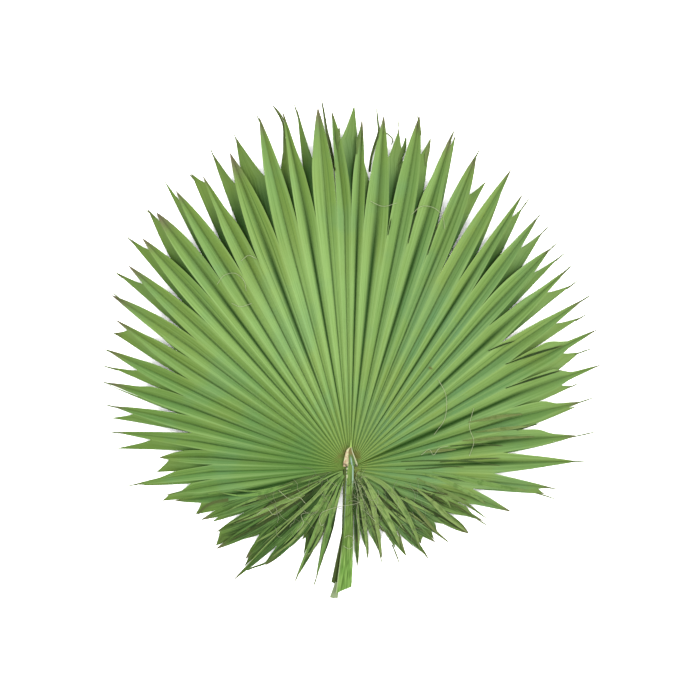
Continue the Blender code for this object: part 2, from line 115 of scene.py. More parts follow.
# Blade, as the frame has it
HUB_RADIUS = 7.9 * MM
FOOT_LEFT = 9 * MM           # how far down the stalk's sides the lowest rays start
FOOT_RIGHT = 30 * MM
FOOT_FADE = 165 * MM         # how far out they are drawn to the stalk
HUB_HEIGHT = 8.5 * MM
DOME = 21 * MM
LONGEST = 660 * MM
PLEAT_SLOPE = 0.58           # rise of a half pleat for its width
LOW_PLEATS = 0.35            # the same beside the stalk, as a share of it
LIFTED_RIDGE = 69.5          # bearing of a ridge that stands higher than the others
LIFTED_BY = 4 * MM
NOTCH_SHARE = 0.66           # where notches begin, as a share of the reach
NOTCH_SHARE_TOP = 0.70
NOTCH_SHARE_LOW = 0.50
NOTCH_DEEPER = 0.05          # how much further in the notches begin right of the top
TIP_LIFT = 9 * MM

# Finer form of the blade
SKIN = 0.6 * MM              # thickness of the leaf itself
RIB = 1.5 * MM               # how far the rib under a crease stands out
# Points across a half pleat, from its crease to its ridge, and across a second lobe
LANES = (0.0, 0.06, 0.17, 0.34, 0.48, 0.62, 0.82, 1.0)
WING_LANES = (0.0, 0.25, 0.5, 0.75, 1.0)
FOLD_LANE = 0.48             # some halves have a second, shallow fold here
FOLD_HALF_WIDTH = 0.14
FOLD_DEPTH = 1.1 * MM
WEB_ROWS = 22
WEB_CURVE = 1.25             # rows stand closer together near the hub
FREE_ROWS = 13
TIP_ROWS = 9
TIP_CURVE = 0.8
LOBE_START = 0.06            # share of a second lobe over which it reaches its full width
LOBE_CURVE = 1.6
WING_BULGE = 0.15            # how far a second lobe hangs below a flat one
WAVE_HEIGHT = 1.3 * MM       # slow waves of the whole blade, and how many there are in a metre
WAVE_RATE = 9
CRUMPLE_HEIGHT = 3.2 * MM    # the same for the crumpled segments beside the stalk
CRUMPLE_RATE = 34
CRUMPLED_FROM = 98           # bearing from which segments are crumpled, on both sides
WELD = 2e-6                  # points that are closer together than this are joined
LEAF_SHARP = 24              # degrees from which an edge is shown as an edge
STALK_SHARP = 40
BULGE = 0.12                 # how far a half pleat swells above a flat one
# Creases with the most painted shade: bearing, painted shade near the hub and painted shade far
# out
SHADED_CREASES = (
    (-102, 4.0, 1.8), (-38, 0.8, 1.0), (-21, 0.4, 1.0), (-9, 0.8, 1.0), (2, 0.9, 1.3),
    (7.5, 0.9, 1.2), (17, 0.5, 1.0), (32, 0.8, 0.9), (45, 0.4, 1.0), (65.5, 5.0, 0.9),
    (81, 0.3, 1.0), (88, 0.3, 1.0),
)

# Strips of the leaf that stand or lie free: torn margins, split segments, and dark strips laid
# between them as painted shadow in the gaps. Each row: places along it (millimetres); width at
# its start, middle and end; dryness from 0 (green) to 1 (grey-brown); darkness, painted shade
# where a strip stands for a shadowed gap.
STRIPS = (
    (((-119, 556), (-119, 590), (-120, 617), (-128, 637), (-140, 655)), (4, 4.6, 2.2), 0.5, 0.6),
    (((-27, 535), (-34, 572), (-42, 608), (-47, 641), (-52, 668)), (4, 5.6, 2.4), 0.4, 0.8),
    (((35, 535), (39, 563), (47, 590), (52, 607), (50, 630), (48, 653)), (4, 5, 2.2), 0.4, 0.6),
    (((61, 607), (68, 603), (76, 596), (77, 589), (74, 583)), (2.6, 2.6, 1.6), 0.8, 0.6),
    (((-22, 575), (-21, 598), (-19, 616)), (2, 8, 2), 0.45, 0.4),
    (((12, 565), (16, 592), (20, 616)), (2, 8, 2), 0.35, 0.4),
    (((86, 545), (97, 576), (102, 601)), (2, 9, 1.4), 0.3, 0.4),
    (((128, 600), (126, 617), (121, 641)), (3, 3, 1.4), 0.9, 0.3),
    (((136, 545), (140, 570), (146, 596)), (2, 8, 2), 0.6, 0.3),
    (((-186, -186), (-172, -180), (-157, -175), (-143, -166), (-126, -148)), (3, 4, 5), 0.35, 0.7),
    (((-219, -57), (-248, -63), (-265, -74), (-277, -88)), (6, 5, 2), 0.5, 0.8),
    (((148, -7), (198, -17), (262, -32), (318, -41)), (3, 11, 5), 0.0, 0.1),
    (((130, -10), (170, -22), (215, -45), (246, -66)), (3, 8, 3), 0.15, 0.0),
    (((120, -18), (160, -38), (205, -62), (252, -96)), (3, 8, 1.5), 0.3, 0.3),
    (((118, -36), (150, -62), (178, -90), (214, -118)), (3, 9, 2), 0.2, 0.0),
    (((100, -52), (128, -84), (152, -112), (184, -140)), (3, 6, 1.2), 0.7, 0.4),
    (((92, 12), (150, 14), (214, 12), (270, 4)), (1.5, 3, 1.5), 0.0, 0.8),
    (((100, -2), (140, 0), (176, 3), (205, 2)), (1.5, 3, 1.5), 0.0, 0.8),
    (((141, 182), (144, 180), (148, 178)), (3, 5, 3), 1.0, 0.0),
    (((13, -17), (30, -43), (42, -72), (51, -117), (57, -166)), (3, 8.5, 2), 0.2, 0.0),
    (((11, -16), (19, -42), (22.5, -72), (28.4, -117), (31.5, -166)), (3, 7.5, 2), 0.0, 0.1),
    (((14, -50), (14.5, -76), (16, -124), (15, -172)), (2, 4, 1.5), 0.15, 0.0),
    (((12, -9), (27, -20), (45, -52), (63, -81), (81, -117), (90, -142)), (3, 13, 4), 0.0, 0.0),
    (((13, -8), (38, -17), (66, -34), (95, -72), (118, -118), (126, -146)), (4, 12, 3), 0.0, 0.1),
    (((86, -112), (94, -139), (102, -160)), (2, 4, 1.2), 0.6, 0.4),
    (((9, -28), (10, -60), (11, -100), (12, -135)), (5, 7.5, 4), 0.0, 1.0),
    (((27, -42), (33, -62), (36, -82)), (3, 8, 3), 0.0, 1.0),
    (((37, -56), (47, -76), (58, -95)), (2, 5.5, 3), 0.0, 1.0),
    (((20, -12), (33, -36), (46, -60), (54, -72)), (2, 4, 2), 0.0, 1.0),
    (((54, -28), (76, -62), (92, -94)), (2, 5, 3), 0.0, 1.0),
    (((80, -36), (102, -66), (127, -98)), (2, 4.5, 2), 0.0, 1.0),
    (((-13, -6), (-33, -13), (-99, -49), (-158, -75), (-226, -104)), (2, 4, 2), 0.1, 0.0),
    (((-13, -8), (-40, -26), (-70, -60), (-121, -104), (-169, -134)), (3, 7, 3), 0.1, 0.1),
    (((-13, -10), (-35, -28), (-62, -75), (-99, -127), (-140, -160)), (3, 7, 2), 0.05, 0.0),
    (((-12, -12), (-31, -40), (-55, -97), (-83, -165), (-96, -200)), (3, 7, 2), 0.0, 0.1),
    (((-11, -14), (-22, -36), (-33, -71), (-46, -134), (-61, -200)), (3, 7, 2), 0.0, 0.1),
    (((-40, -9), (-85, -20), (-129, -38), (-169, -57)), (3, 7, 9), 0.0, 0.7),
    (((-47, -23), (-70, -38), (-90, -58)), (2, 4.5, 2), 0.0, 1.0),
    (((-33, -41), (-48, -71), (-67, -104), (-77, -134)), (2, 5, 2), 0.0, 1.0),
    (((-56, -26), (-76, -56), (-102, -86)), (2, 4, 2), 0.0, 1.0),
    (((-38, -82), (-44, -102), (-51, -119)), (2, 5, 2), 0.0, 1.0),
    (((-98, -88), (-125, -112), (-136, -126)), (2, 6, 2), 0.0, 1.0),
    (((-116, -68), (-150, -92), (-187, -112)), (2, 6, 3), 0.0, 1.0),
)
# Dark strips as painted shadow in the slits, and dry split margins, in the right half, laid last;
# rows as above
SPLITS = (
    (((248, 211), (272, 221), (297, 229)), (1.5, 3, 1.5), 0.0, 1.0),
    (((279, 187), (330, 205), (383, 220)), (1.5, 4.5, 2), 0.0, 1.0),
    (((279, 144), (330, 161), (380, 176)), (1.5, 4, 2), 0.0, 1.0),
    (((300, 68), (322, 74), (342, 79)), (1.5, 3.5, 2), 0.1, 0.9),
    (((212, 83), (262, 92), (310, 97)), (2, 7, 2), 0.6, 0.3),
    (((225, 65), (276, 71), (324, 76)), (2, 7, 2), 0.35, 0.2),
    (((202, 50), (268, 54), (333, 56)), (2, 6, 1.5), 0.7, 0.3),
    (((133, 29), (162, 32), (191, 34)), (2, 6, 2), 0.7, 0.2),
    (((162, 11), (216, 16), (270, 18)), (1.5, 3, 1.5), 0.2, 0.8),
    (((180, 40), (230, 43), (275, 40)), (1.5, 3, 1.5), 0.1, 0.9),
    (((68, 418), (71, 433), (74, 448)), (1.2, 2.4, 1.4), 0.0, 1.0),
    (((104, 403), (112, 437), (121, 468)), (1.2, 3.0, 3.5), 0.0, 1.0),
    (((139, 383), (148, 412), (158, 440)), (1.2, 3.0, 3.5), 0.0, 1.0),
)
LOOSE_STRIPS = 90            # more of them in the crumpled parts beside the stalk, by chance
LOOSE_LEFT = (-164, -103)    # bearings
LOOSE_RIGHT = (103, 170)

# Needles in which tips end. Each row: bearing and reach inside the tip, then at the point.
NEEDLES = (
    (-10.7, 636, -12.1, 672), (-14.5, 636, -14.9, 663), (-8.4, 636, -8.8, 669),
    (-19.1, 612, -19.2, 643), (-23.7, 602, -23.6, 636), (-28.4, 588, -28.8, 610),
    (-38.0, 573, -38.5, 599), (-44.0, 562, -44.0, 585), (-50.2, 535, -50.2, 558),
    (-53.8, 508, -53.6, 536), (-60.3, 476, -60.3, 498), (-64.2, 475, -64.3, 497),
    (-67.3, 455, -67.7, 488), (-70.8, 452, -70.9, 476), (-75.6, 433, -75.6, 460),
    (-81.5, 418, -81.6, 442), (-94.6, 385, -94.4, 409), (-163.1, 200, -162.9, 230),
    (-154.0, 211, -154.5, 234), (8.1, 612, 7.8, 641), (17.1, 616, 17.2, 642),
    (22.0, 596, 22.2, 623), (33.6, 558, 33.7, 587), (36.9, 555, 36.9, 578),
    (39.3, 540, 39.5, 570), (42.5, 524, 42.7, 558), (44.9, 526, 45.1, 554),
    (47.7, 526, 47.6, 546), (50.6, 508, 50.6, 536), (54.3, 512, 54.4, 540),
    (57.0, 486, 57.1, 513), (63.4, 455, 63.9, 492), (69.9, 418, 69.8, 442),
    (74.2, 425, 74.0, 463), (82.1, 408, 81.7, 454), (88.5, 400, 88.7, 432),
    (95.8, 357, 95.9, 379), (97.9, 340, 98.9, 379), (112.2, 248, 113.1, 273),
    (139.0, 202, 139.5, 221), (151.5, 160, 153.0, 201), (160.8, 160, 161.7, 185),
    (168.0, 148, 168.7, 171),
)
NEEDLE_WIDTHS = (2.0, 2.8, 1.2)
NEEDLE_DRYNESS = 0.75
NEEDLE_DARKNESS = 0.55

# Pale loose fibres. Each row: places along the fibre (millimetres).
FIBRES = (
    ((-56, -92), (-50, -80), (-22, -70), (4, -66), (18, -62)),
    ((-56, -92), (-52, -104), (-46, -100)),
    ((-10, -126), (-4, -122), (4, -124), (6, -132)),
    ((-12, -140), (-2, -146), (4, -142)),
    ((-238, 330), (-226, 346), (-206, 350), (-190, 336), (-186, 318)),
    ((-196, 372), (-182, 382), (-168, 376)),
    ((110, 455), (128, 470), (150, 468), (166, 452), (170, 430)),
    ((150, 60), (170, 90), (172, 130), (158, 160)),
    ((128, 24), (142, 34), (150, 24), (160, 36), (176, 40)),
    ((214, 22), (222, 48), (214, 76), (222, 108)),
    ((-128, -40), (-108, -56), (-92, -52), (-80, -64)),
    ((-168, -84), (-150, -72), (-138, -84), (-122, -76)),
    ((-96, -116), (-84, -100), (-88, -84), (-74, -80)),
    ((8, -22), (14, -50), (12, -86), (18, -120)),
    ((14, -30), (24, -58), (34, -84), (46, -96)),
    ((36, 480), (60, 470), (84, 476)),
    ((-212, 296), (-196, 290), (-176, 296)),
)
LOOSE_FIBRES = 110
FIBRE_RADIUS = 0.46 * MM     # of those in the table
FINE_RADIUS = 0.32 * MM      # of the loose ones
FIBRE_STEP = 3 * MM
FINE_STEP = 2.5 * MM

STRIP_LANES = (-1.0, -0.5, 0.0, 0.5, 1.0)
STRIP_FIELDS = ("lane", "along", "dark", "mark", "dry")
STRIP_FOLD = 0.16            # rise from a strip's middle line to its edges
STRIP_STEP = 6 * MM
STRIP_THICKNESS = 0.5 * MM
STRIP_RISE = 0.4 * MM        # of a strip's middle line above what it lies on
STRIP_GAP = 0.2 * MM         # the least height of the rest of it above that
STRIP_LIFT = 1.4 * MM        # of the green ones above the blade, so they lie over the dark ones

# The stage's light on level ground, against the light that shows a colour as given
LIGHT = 3.6
SPECULAR = 0.05

# The picture: its side in pixels, the size of a pixel, the level at which it has that size, and
# how many pixels the hub is below the middle
PICTURE_SIDE = 700
PIXEL = 1.8 * MM
PICTURE_LEVEL = 15 * MM
HUB_BELOW_MIDDLE = 118
LENS = 70.0
SENSOR = 36.0
FLOOR_HALF = 6.0

# Stalk, as the frame has it
STALK_HEIGHT = 13 * MM
STALK_HALF_WIDTH = 7.6 * MM
STALK_STATIONS = (           # y, left edge, right edge, height (millimetres)
    (0, -7.6, 7.6, 13), (-30, -8.4, 7.2, 13), (-67, -9.8, 6.6, 13.5), (-124, -13.4, 5.4, 14.5),
    (-180, -20.0, 5.0, 15), (-214, -26.0, 3.2, 15),
)
STALK_SECTION = (            # across as a share of the half width, up as a share of the height
    (-0.55, 0.0), (0.55, 0.0), (0.86, 0.20), (1.0, 0.62), (0.90, 0.90), (0.50, 1.0), (0.0, 0.93),
    (-0.50, 1.0), (-0.90, 0.90), (-1.0, 0.62), (-0.86, 0.20),
)
CUT_SLANT = 0.42             # the cut end runs back by this much for each unit to the left
STALK_RINGS = 72
STALK_KNOBS = 0.35 * MM
# Strips torn from the stalk: their upper right, upper left, lower left and lower right corners
# in millimetres, the heights at the upper and lower ends, and darkness
SLIVERS = (
    ((-19, -211), (-26.5, -206), (-37, -236), (-22, -237), 4.0, 0.8, 0.0),
    ((-12, -118), (-15, -118), (-34, -208), (-24, -210), 9.0, 0.8, 1.0),
    ((-6.5, -2), (-11.5, -2), (-15, -119), (-12, -119), 12.0, 9.0, 1.0),
)
SLIVER_ROWS = 12
SLIVER_COLUMNS = 4
SLIVER_CURL = 1.4
SLIVER_RAGGED = 2.2
SLIVER_THICKNESS = 0.9 * MM

# Flap over the hub, the hastula: y, left edge, right edge (millimetres)
FLAP_STATIONS = (
    (2.5, -12.4, 14.0), (9, -12.2, 13.2), (16, -10.4, 10.4), (24, -8.8, 7.4), (31, -7.0, 4.6),
    (35, -4.2, 3.9), (38, -0.2, 3.6), (43, 0.7, 3.0), (51, 1.5, 2.2),
)
FLAP_HOLLOW = 3.2 * MM       # how far the middle of the flap lies below its two lobes
FLAP_THICKNESS = 0.8 * MM
FLAP_CLEARANCE = 0.3 * MM
FLAP_SLOPE = 0.19
FLAP_CUP = 0.45              # rise from the flap's middle line to its edges, at its point
FLAP_COLUMNS = 14
FLAP_ROWS = 24
FLAP_WRINKLE = 0.25 * MM


def mix(a, b, share):
    return a + (b - a) * share


def ease(share):
    share = min(max(share, 0.0), 1.0)
    return share * share * (3 - 2 * share)


def curve_point(a, b, c, d, share):
    """A point between b and c on a smooth curve that runs through a, b, c and d."""
    bend = (2 * a - 5 * b + 4 * c - d) * share ** 2 + (3 * b - a - 3 * c + d) * share ** 3
    return 0.5 * (2 * b + (c - a) * share + bend)


def add_object(name, data):
    item = bpy.data.objects.new(name, data)
    bpy.context.scene.collection.objects.link(item)
    return item


def smooth_object(name, bm, material):
    """The finished faces as an object, with their outer sides out and smooth shading."""
    bmesh.ops.recalc_face_normals(bm, faces=list(bm.faces))
    mesh = bpy.data.meshes.new(name)
    bm.to_mesh(mesh)
    bm.free()
    mesh.shade_smooth()
    mesh.materials.append(material)
    return add_object(name, mesh)


def ring_faces(bm, first, second):
    """Faces between two rings of corners, each with the number of its first corner."""
    count = len(first)
    for corner in range(count):
        after = (corner + 1) % count
        yield corner, bm.faces.new((first[corner], first[after], second[after], second[corner]))


def needle(share):
    """How far a lobe with a shoulder and a thin needle has narrowed, 0 at base to 1 at tip."""
    broad = 1 - 0.5 * share
    thin = 0.42 * (1 - share)
    return 1 - mix(broad, thin, ease((share - 0.42) / 0.24))


def foot_fade(radius):
    return max(0.0, 1 - (radius - HUB_RADIUS) / FOOT_FADE)


def place(bearing, radius):
    """Plan position of a point; low rays start along the stalk's sides, not at the centre."""
    angle = math.radians(bearing)
    x = radius * math.sin(angle)
    y = radius * math.cos(angle)
    if abs(bearing) > 90:
        foot = FOOT_LEFT if bearing < 0 else FOOT_RIGHT
        side = math.copysign(1.0, bearing)
        fade = foot_fade(radius)
        x += (side - math.sin(angle)) * HUB_RADIUS * fade
        y -= ((abs(bearing) - 90) / 90 * foot + HUB_RADIUS * math.cos(angle)) * fade
    return x, y


def crease_height(radius, reach, lift):
    """Height of the blade's underside along a crease."""
    share = min(radius / reach, 1.0)
    arch = DOME * reach / LONGEST * math.sin(math.pi * share ** 0.8)
    return HUB_HEIGHT * (1 - share) ** 2 + arch + lift * share ** 4


def relief(x, y, radius, bearing):
    """Slow waves of the whole blade, and the crumpled segments beside the stalk."""
    away = ease((radius - 0.02) / 0.15)
    waves = WAVE_HEIGHT * noise.noise(Vector((x * WAVE_RATE, y * WAVE_RATE, 3.1))) * away
    low = ease((abs(bearing) - CRUMPLED_FROM) / 14) * ease((radius - 0.03) / 0.09)
    spot = Vector((x * CRUMPLE_RATE, y * CRUMPLE_RATE, 7.7))
    crumple = CRUMPLE_HEIGHT * noise.noise(spot) * low
    return waves + crumple


class Ridge:
    """The line between two segments, or a free edge of the blade beside the stalk."""

    def __init__(self, bearing, before, after):
        beside = [segment for segment in (before, after) if segment]
        self.bearing = bearing
        self.reach = sum(segment.reach for segment in beside) / len(beside)
        self.lift = sum(segment.lift for segment in beside) / len(beside)
        self.half_width = math.radians(sum(segment.pitch for segment in beside) / len(beside) / 2)
        away = abs(bearing)
        share = mix(NOTCH_SHARE_TOP, NOTCH_SHARE, ease(away / 20))
        share = mix(share, NOTCH_SHARE_LOW, ease((away - 110) / 45))
        share -= NOTCH_DEEPER * ease(bearing / 8) * ease((36 - bearing) / 14)
        self.notch = self.reach * share

    def rise(self, radius):
        dense = ease((abs(self.bearing) - 90) / 40) * foot_fade(radius)
        rise = PLEAT_SLOPE * self.half_width * radius * mix(1, LOW_PLEATS, dense)
        if self.bearing == LIFTED_RIDGE:
            rise += LIFTED_BY * math.sin(math.pi * min(radius / self.notch, 1.0))
        return rise


class Segment:
    """One pleat of the fan with its front tip and its second tip on the side away from the top."""

    def __init__(self, side, inner, row, chance):
        bearing, tip, reach, second_tip, second_reach, *shape = row
        self.full, self.shoulder, self.cleft, self.fill = shape
        outer = side * bearing
        self.side = side
        self.outer_bearing = outer
        self.reach = reach * MM
        self.second_reach = second_reach * MM
        self.pitch = abs(outer - inner)
        self.away = abs(outer + inner) / 2
        self.tip = side * tip
        self.valley = mix(inner, outer, 0.5)
        self.second_tip = side * second_tip
        self.wing_slope = mix(0.8, 0.25, ease((self.away - 30) / 35))
        self.lift = chance.choice((0.0, 0.0, 0.5, 1.0)) * TIP_LIFT * chance.random()
        self.second_lift = chance.choice((0.0, 0.5, 1.0)) * TIP_LIFT * chance.random()
        self.inner = None
        self.outer = None
        self.next_out = None

    def margin(self, ridge, share):
        """Bearing, radius and height on the margin that leaves a ridge's notch for the tip."""
        bearing = mix(ridge.bearing, self.tip, self.taper(share))
        radius = mix(ridge.notch, self.reach, share)
        own = crease_height(radius, self.reach, self.lift)
        shared = crease_height(radius, ridge.reach, ridge.lift)
        half_width = math.radians(abs(bearing - self.crease_bearing(share)))
        start = math.radians(abs(ridge.bearing - self.valley)) * ridge.notch
        spare = ridge.rise(ridge.notch) - PLEAT_SLOPE * start
        rise = PLEAT_SLOPE * half_width * radius + spare * (1 - share)
        return bearing, radius, mix(shared, own, ease(share)) + rise

    def taper(self, share):
        """How far a margin has come in from the ridge to the tip."""
        return mix(max(share, 0.0) ** self.full, needle(share), self.shoulder)

    def crease_bearing(self, share):
        return mix(self.valley, self.tip, share)

    def crease(self, share):
        radius = mix((self.inner.notch + self.outer.notch) / 2, self.reach, share)
        return self.crease_bearing(share), radius, crease_height(radius, self.reach, self.lift)

    def second_share(self, radius):
        notch = self.outer.notch
        return min(max((radius - notch) / (self.second_reach - notch), 0.0), 1.0)

    def wing_edge(self, bearing, radius):
        """Bearing of the second lobe's outer edge; near the notch it runs under the next lobe."""
        share = self.second_share(radius)
        gap = (self.next_out or self).pitch / 2
        swing = self.side * (self.second_tip - self.outer_bearing)
        spread = self.fill * gap * (1 - share ** LOBE_CURVE) * min(share / LOBE_START, 1.0)
        edge = self.side * self.outer_bearing + swing * share + spread
        return self.side * max(edge, self.side * bearing + 0.02)

    def wing_drop(self, width, radius, height):
        slope = mix(0.8, self.wing_slope, ease(self.second_share(radius) / 0.5))
        return min(slope * width, 0.75 * height)


def lay_out_segments():
    """All segments from the stalk's left side round to its right side, and their ridges."""
    chance = random.Random(SEED)
    sides = []
    for side, rows in ((-1, LEFT_SEGMENTS), (1, RIGHT_SEGMENTS)):
        inner = FIRST_RIDGE
        made = []
        for row in rows:
            made.append(Segment(side, inner, row, chance))
            inner = made[-1].outer_bearing
        for segment, next_out in zip(made, made[1:]):
            segment.next_out = next_out
        sides.append(made)
    left, right = sides
    segments = left[::-1] + right
    bearings = [segment.outer_bearing for segment in left[::-1]] + [FIRST_RIDGE]
    bearings += [segment.outer_bearing for segment in right]
    ridges = [
        Ridge(bearing, before, after)
        for bearing, before, after in zip(bearings, [None] + segments, segments + [None])
    ]
    for number, segment in enumerate(segments):
        pair = (ridges[number], ridges[number + 1])
        segment.outer, segment.inner = pair if segment.side < 0 else pair[::-1]
        leaves = mix(segment.outer.notch, segment.reach, segment.cleft)
        segment.second_reach = max(segment.second_reach, 1.04 * leaves)
    return segments, ridges


# Values kept at each corner of a face, for the material
FIELDS = ("lane", "along", "turn", "half", "mark", "dry", "gloom", "crease_shade", "fold")


class Skin:
    """A thin sheet laid down in patches, then welded and given its thickness."""

    def __init__(self, fields=FIELDS):
        self.fields = fields
        self.points = []
        self.ribs = []
        self.faces = []
        self.values = []

    def spot(self, bearing, radius, height, values, rib=0.0):
        """A point of the sheet, with the values of the material and the depth of the rib."""
        x, y = place(bearing, radius)
        height = max(height + relief(x, y, radius, bearing), 0.0)
        return (x, y, height), values, rib

    def patch(self, rows):
        """Faces between rows of spots; the values at a corner are those of its own patch."""
        wide = len(rows[0])
        first = len(self.points)
        for row in rows:
            for point, values, rib in row:
                self.points.append(point)
                self.values.append(values)
                self.ribs.append(rib)
        for row in range(len(rows) - 1):
            for column in range(wide - 1):
                corner = first + row * wide + column
                self.faces.append((corner, corner + 1, corner + wide + 1, corner + wide))

    def make(self, name, thickness, material):
        mesh = bpy.data.meshes.new(name)
        mesh.from_pydata(self.points, [], self.faces)
        corners = [corner for face in self.faces for corner in face]
        for number, field in enumerate(self.fields):
            layer = mesh.attributes.new(field, "FLOAT", "CORNER")
            layer.data.foreach_set("value", [self.values[corner][number] for corner in corners])
        mesh.attributes.new("rib", "FLOAT", "POINT").data.foreach_set("value", self.ribs)
        thicken(mesh, thickness)
        mesh.materials.append(material)
        return add_object(name, mesh)


def thicken(mesh, thickness):
    """Weld the patches, raise a copy of the sheet and close the edge all round."""
    bm = bmesh.new()
    bm.from_mesh(mesh)
    bmesh.ops.remove_doubles(bm, verts=bm.verts, dist=WELD)
    bmesh.ops.dissolve_degenerate(bm, edges=bm.edges, dist=WELD / 2)
    rib = bm.verts.layers.float["rib"]
    raised = bmesh.ops.extrude_face_region(bm, geom=list(bm.faces))
    upper = {item for item in raised["geom"] if isinstance(item, bmesh.types.BMVert)}
    for vertex in bm.verts:
        if vertex in upper:
            vertex.co.z += thickness
        else:
            vertex.co.z -= min(vertex[rib], max(vertex.co.z, 0.0))
    bmesh.ops.recalc_face_normals(bm, faces=list(bm.faces))
    bm.to_mesh(mesh)
    bm.free()
    mesh.shade_smooth()
    mesh.set_sharp_from_angle(angle=math.radians(LEAF_SHARP))


def half_patch(skin, segment, ridge):
    """One half of a pleat, from the hub to the front tip."""
    clockwise = 1.0 if ridge.bearing > segment.valley else 0.0
    end = (segment.inner.notch + segment.outer.notch) / 2
    dry_from = mix(0.89, 0.96, segment.mark)
    fold = segment.folds[int(clockwise)]

    def values(lane, radius):
        along = radius / segment.reach
        dry = ease((along - dry_from) / (1 - dry_from))
        crease_shade = mix(segment.dark_near, segment.dark_far, ease((radius - 0.09) / 0.17))
        return (lane, along, segment.valley / 180, clockwise, segment.mark, dry, 0.0, crease_shade, fold)

    def sunk(lane, radius):
        """Depth of the second fold at a point of the half pleat."""
        shallow = max(1 - abs(lane - FOLD_LANE) / FOLD_HALF_WIDTH, 0.0)
        return fold * FOLD_DEPTH * shallow * ease(radius / 0.2) * (1 - radius / segment.reach)

    rows = []
    for number in range(WEB_ROWS + 1):
        share = (number / WEB_ROWS) ** WEB_CURVE
        row = []
        for lane in LANES:
            radius = mix(HUB_RADIUS, mix(end, ridge.notch, lane), share)
            low = crease_height(radius, segment.reach, segment.lift)
            shared = crease_height(radius, ridge.reach, ridge.lift)
            swell = lane + BULGE * math.sin(math.pi * lane)
            height = mix(low, shared, lane) + ridge.rise(radius) * swell - sunk(lane, radius)
            rib = RIB * (1 - radius / segment.reach) if lane == 0 else 0.0
            bearing = mix(segment.valley, ridge.bearing, lane)
            row.append(skin.spot(bearing, radius, height, values(lane, radius), rib))
        rows.append(row)
    for share in free_shares(segment)[1:] + tip_shares(segment)[1:]:
        crease = segment.crease(share)
        margin = segment.margin(ridge, share)
        row = []
        for lane in LANES:
            bearing, radius, height = (mix(a, b, lane) for a, b in zip(crease, margin))
            height += BULGE * math.sin(math.pi * lane) * (margin[2] - crease[2])
            height -= sunk(lane, radius)
            rib = RIB * (1 - radius / segment.reach) if lane == 0 else 0.0
            row.append(skin.spot(bearing, radius, height, values(lane, radius), rib))
        rows.append(row)
    skin.patch(rows)


def free_shares(segment):
    return [segment.cleft * number / FREE_ROWS for number in range(FREE_ROWS + 1)]


def tip_shares(segment):
    shares = [(number / TIP_ROWS) ** TIP_CURVE for number in range(TIP_ROWS + 1)]
    return [mix(segment.cleft, 1.0, share) for share in shares]


def wing_patch(skin, segment):
    """The second lobe, folded down from the outer margin and free beyond the cleft."""
    ridge = segment.outer
    clockwise = 0.0 if ridge.bearing > segment.valley else 1.0
    top = 1 - ease((segment.away - 30) / 30)
    dry_from = mix(0.88, 0.97, segment.mark)

    def row_of(inside, edge, radius, height):
        share = segment.second_share(radius)
        # Gloom: a darker green of the lobe's own and painted shade, most near the notch
        deep_in = 1 - ease((share - mix(0.08, 0.36, top)) / 0.4)
        gloom = mix(0.32, 0.9, deep_in) * mix(0.7, 1, top)
        along = radius / segment.second_reach
        dry = ease((share - dry_from) / (1 - dry_from))
        drop = segment.wing_drop(math.radians(abs(edge - inside)) * radius, radius, height)
        row = []
        for lane in WING_LANES:
            level = height - drop * (lane + WING_BULGE * math.sin(math.pi * lane))
            values = (mix(1, 0.3, lane), along, segment.valley / 180, clockwise,
                      segment.mark, dry, gloom, 0.0, 0.0)
            row.append(skin.spot(mix(inside, edge, lane), radius, level, values))
        return row

    rows = []
    for share in free_shares(segment):
        bearing, radius, height = segment.margin(ridge, share)
        rows.append(row_of(bearing, segment.wing_edge(bearing, radius), radius, height))
    start, cleft_bearing, cleft_height = radius, bearing, height
    for number in range(1, TIP_ROWS + 1):
        share = number / TIP_ROWS
        radius = mix(start, segment.second_reach, share)
        bearing = mix(cleft_bearing, segment.second_tip, share ** TIP_CURVE)
        edge = segment.second_tip if share == 1 else segment.wing_edge(bearing, radius)
        height = mix(cleft_height, segment.second_lift, 0.5 * (ease(share) + share))
        rows.append(row_of(bearing, edge, radius, height))
    skin.patch(rows)


def build_blade(material):
    segments, ridges = lay_out_segments()
    chance = random.Random(SEED + 1)
    for segment in segments:
        segment.mark = chance.random()
        # Painted shade in each segment's crease, more in some by chance and most in the listed
        # creases
        darkness = 0.6 * chance.random() ** 2
        segment.dark_near, segment.dark_far = 0.6 * darkness, darkness
        segment.folds = [max(chance.uniform(-0.8, 1.0), 0.0) for _ in range(2)]
    for bearing, near, far in SHADED_CREASES:
        nearest = min(segments, key=lambda segment: abs(segment.valley - bearing))
        nearest.dark_near, nearest.dark_far = near, far
    skin = Skin()
    for segment in segments:
        half_patch(skin, segment, segment.inner)
        half_patch(skin, segment, segment.outer)
        wing_patch(skin, segment)
    return skin.make("leaf_blade", SKIN, material), segments


class Ground:
    """Height of the blade's upper side below any place; the floor where there is none."""

    def __init__(self, items):
        self.trees = []
        for item in items:
            points = [vertex.co for vertex in item.data.vertices]
            faces = [tuple(face.vertices) for face in item.data.polygons]
            self.trees.append(BVHTree.FromPolygons(points, faces))

    def height(self, x, y):
        found = 0.0
        for tree in self.trees:
            hit = tree.ray_cast(Vector((x, y, 1.0)), Vector((0, 0, -1)))[0]
            if hit:
                found = max(found, hit.z)
        return found


def smooth_line(places, step):
    """Points in metres along a soft curve through places in millimetres, one for each step."""
    places = [Vector((x * MM, y * MM)) for x, y in places]
    ends = [places[0] * 2 - places[1]] + places + [places[-1] * 2 - places[-2]]
    made = []
    for a, b, c, d in zip(ends, ends[1:], ends[2:], ends[3:]):
        parts = max(int((c - b).length / step), 1)
        made += [curve_point(a, b, c, d, number / parts) for number in range(parts)]
    return made + [places[-1]]


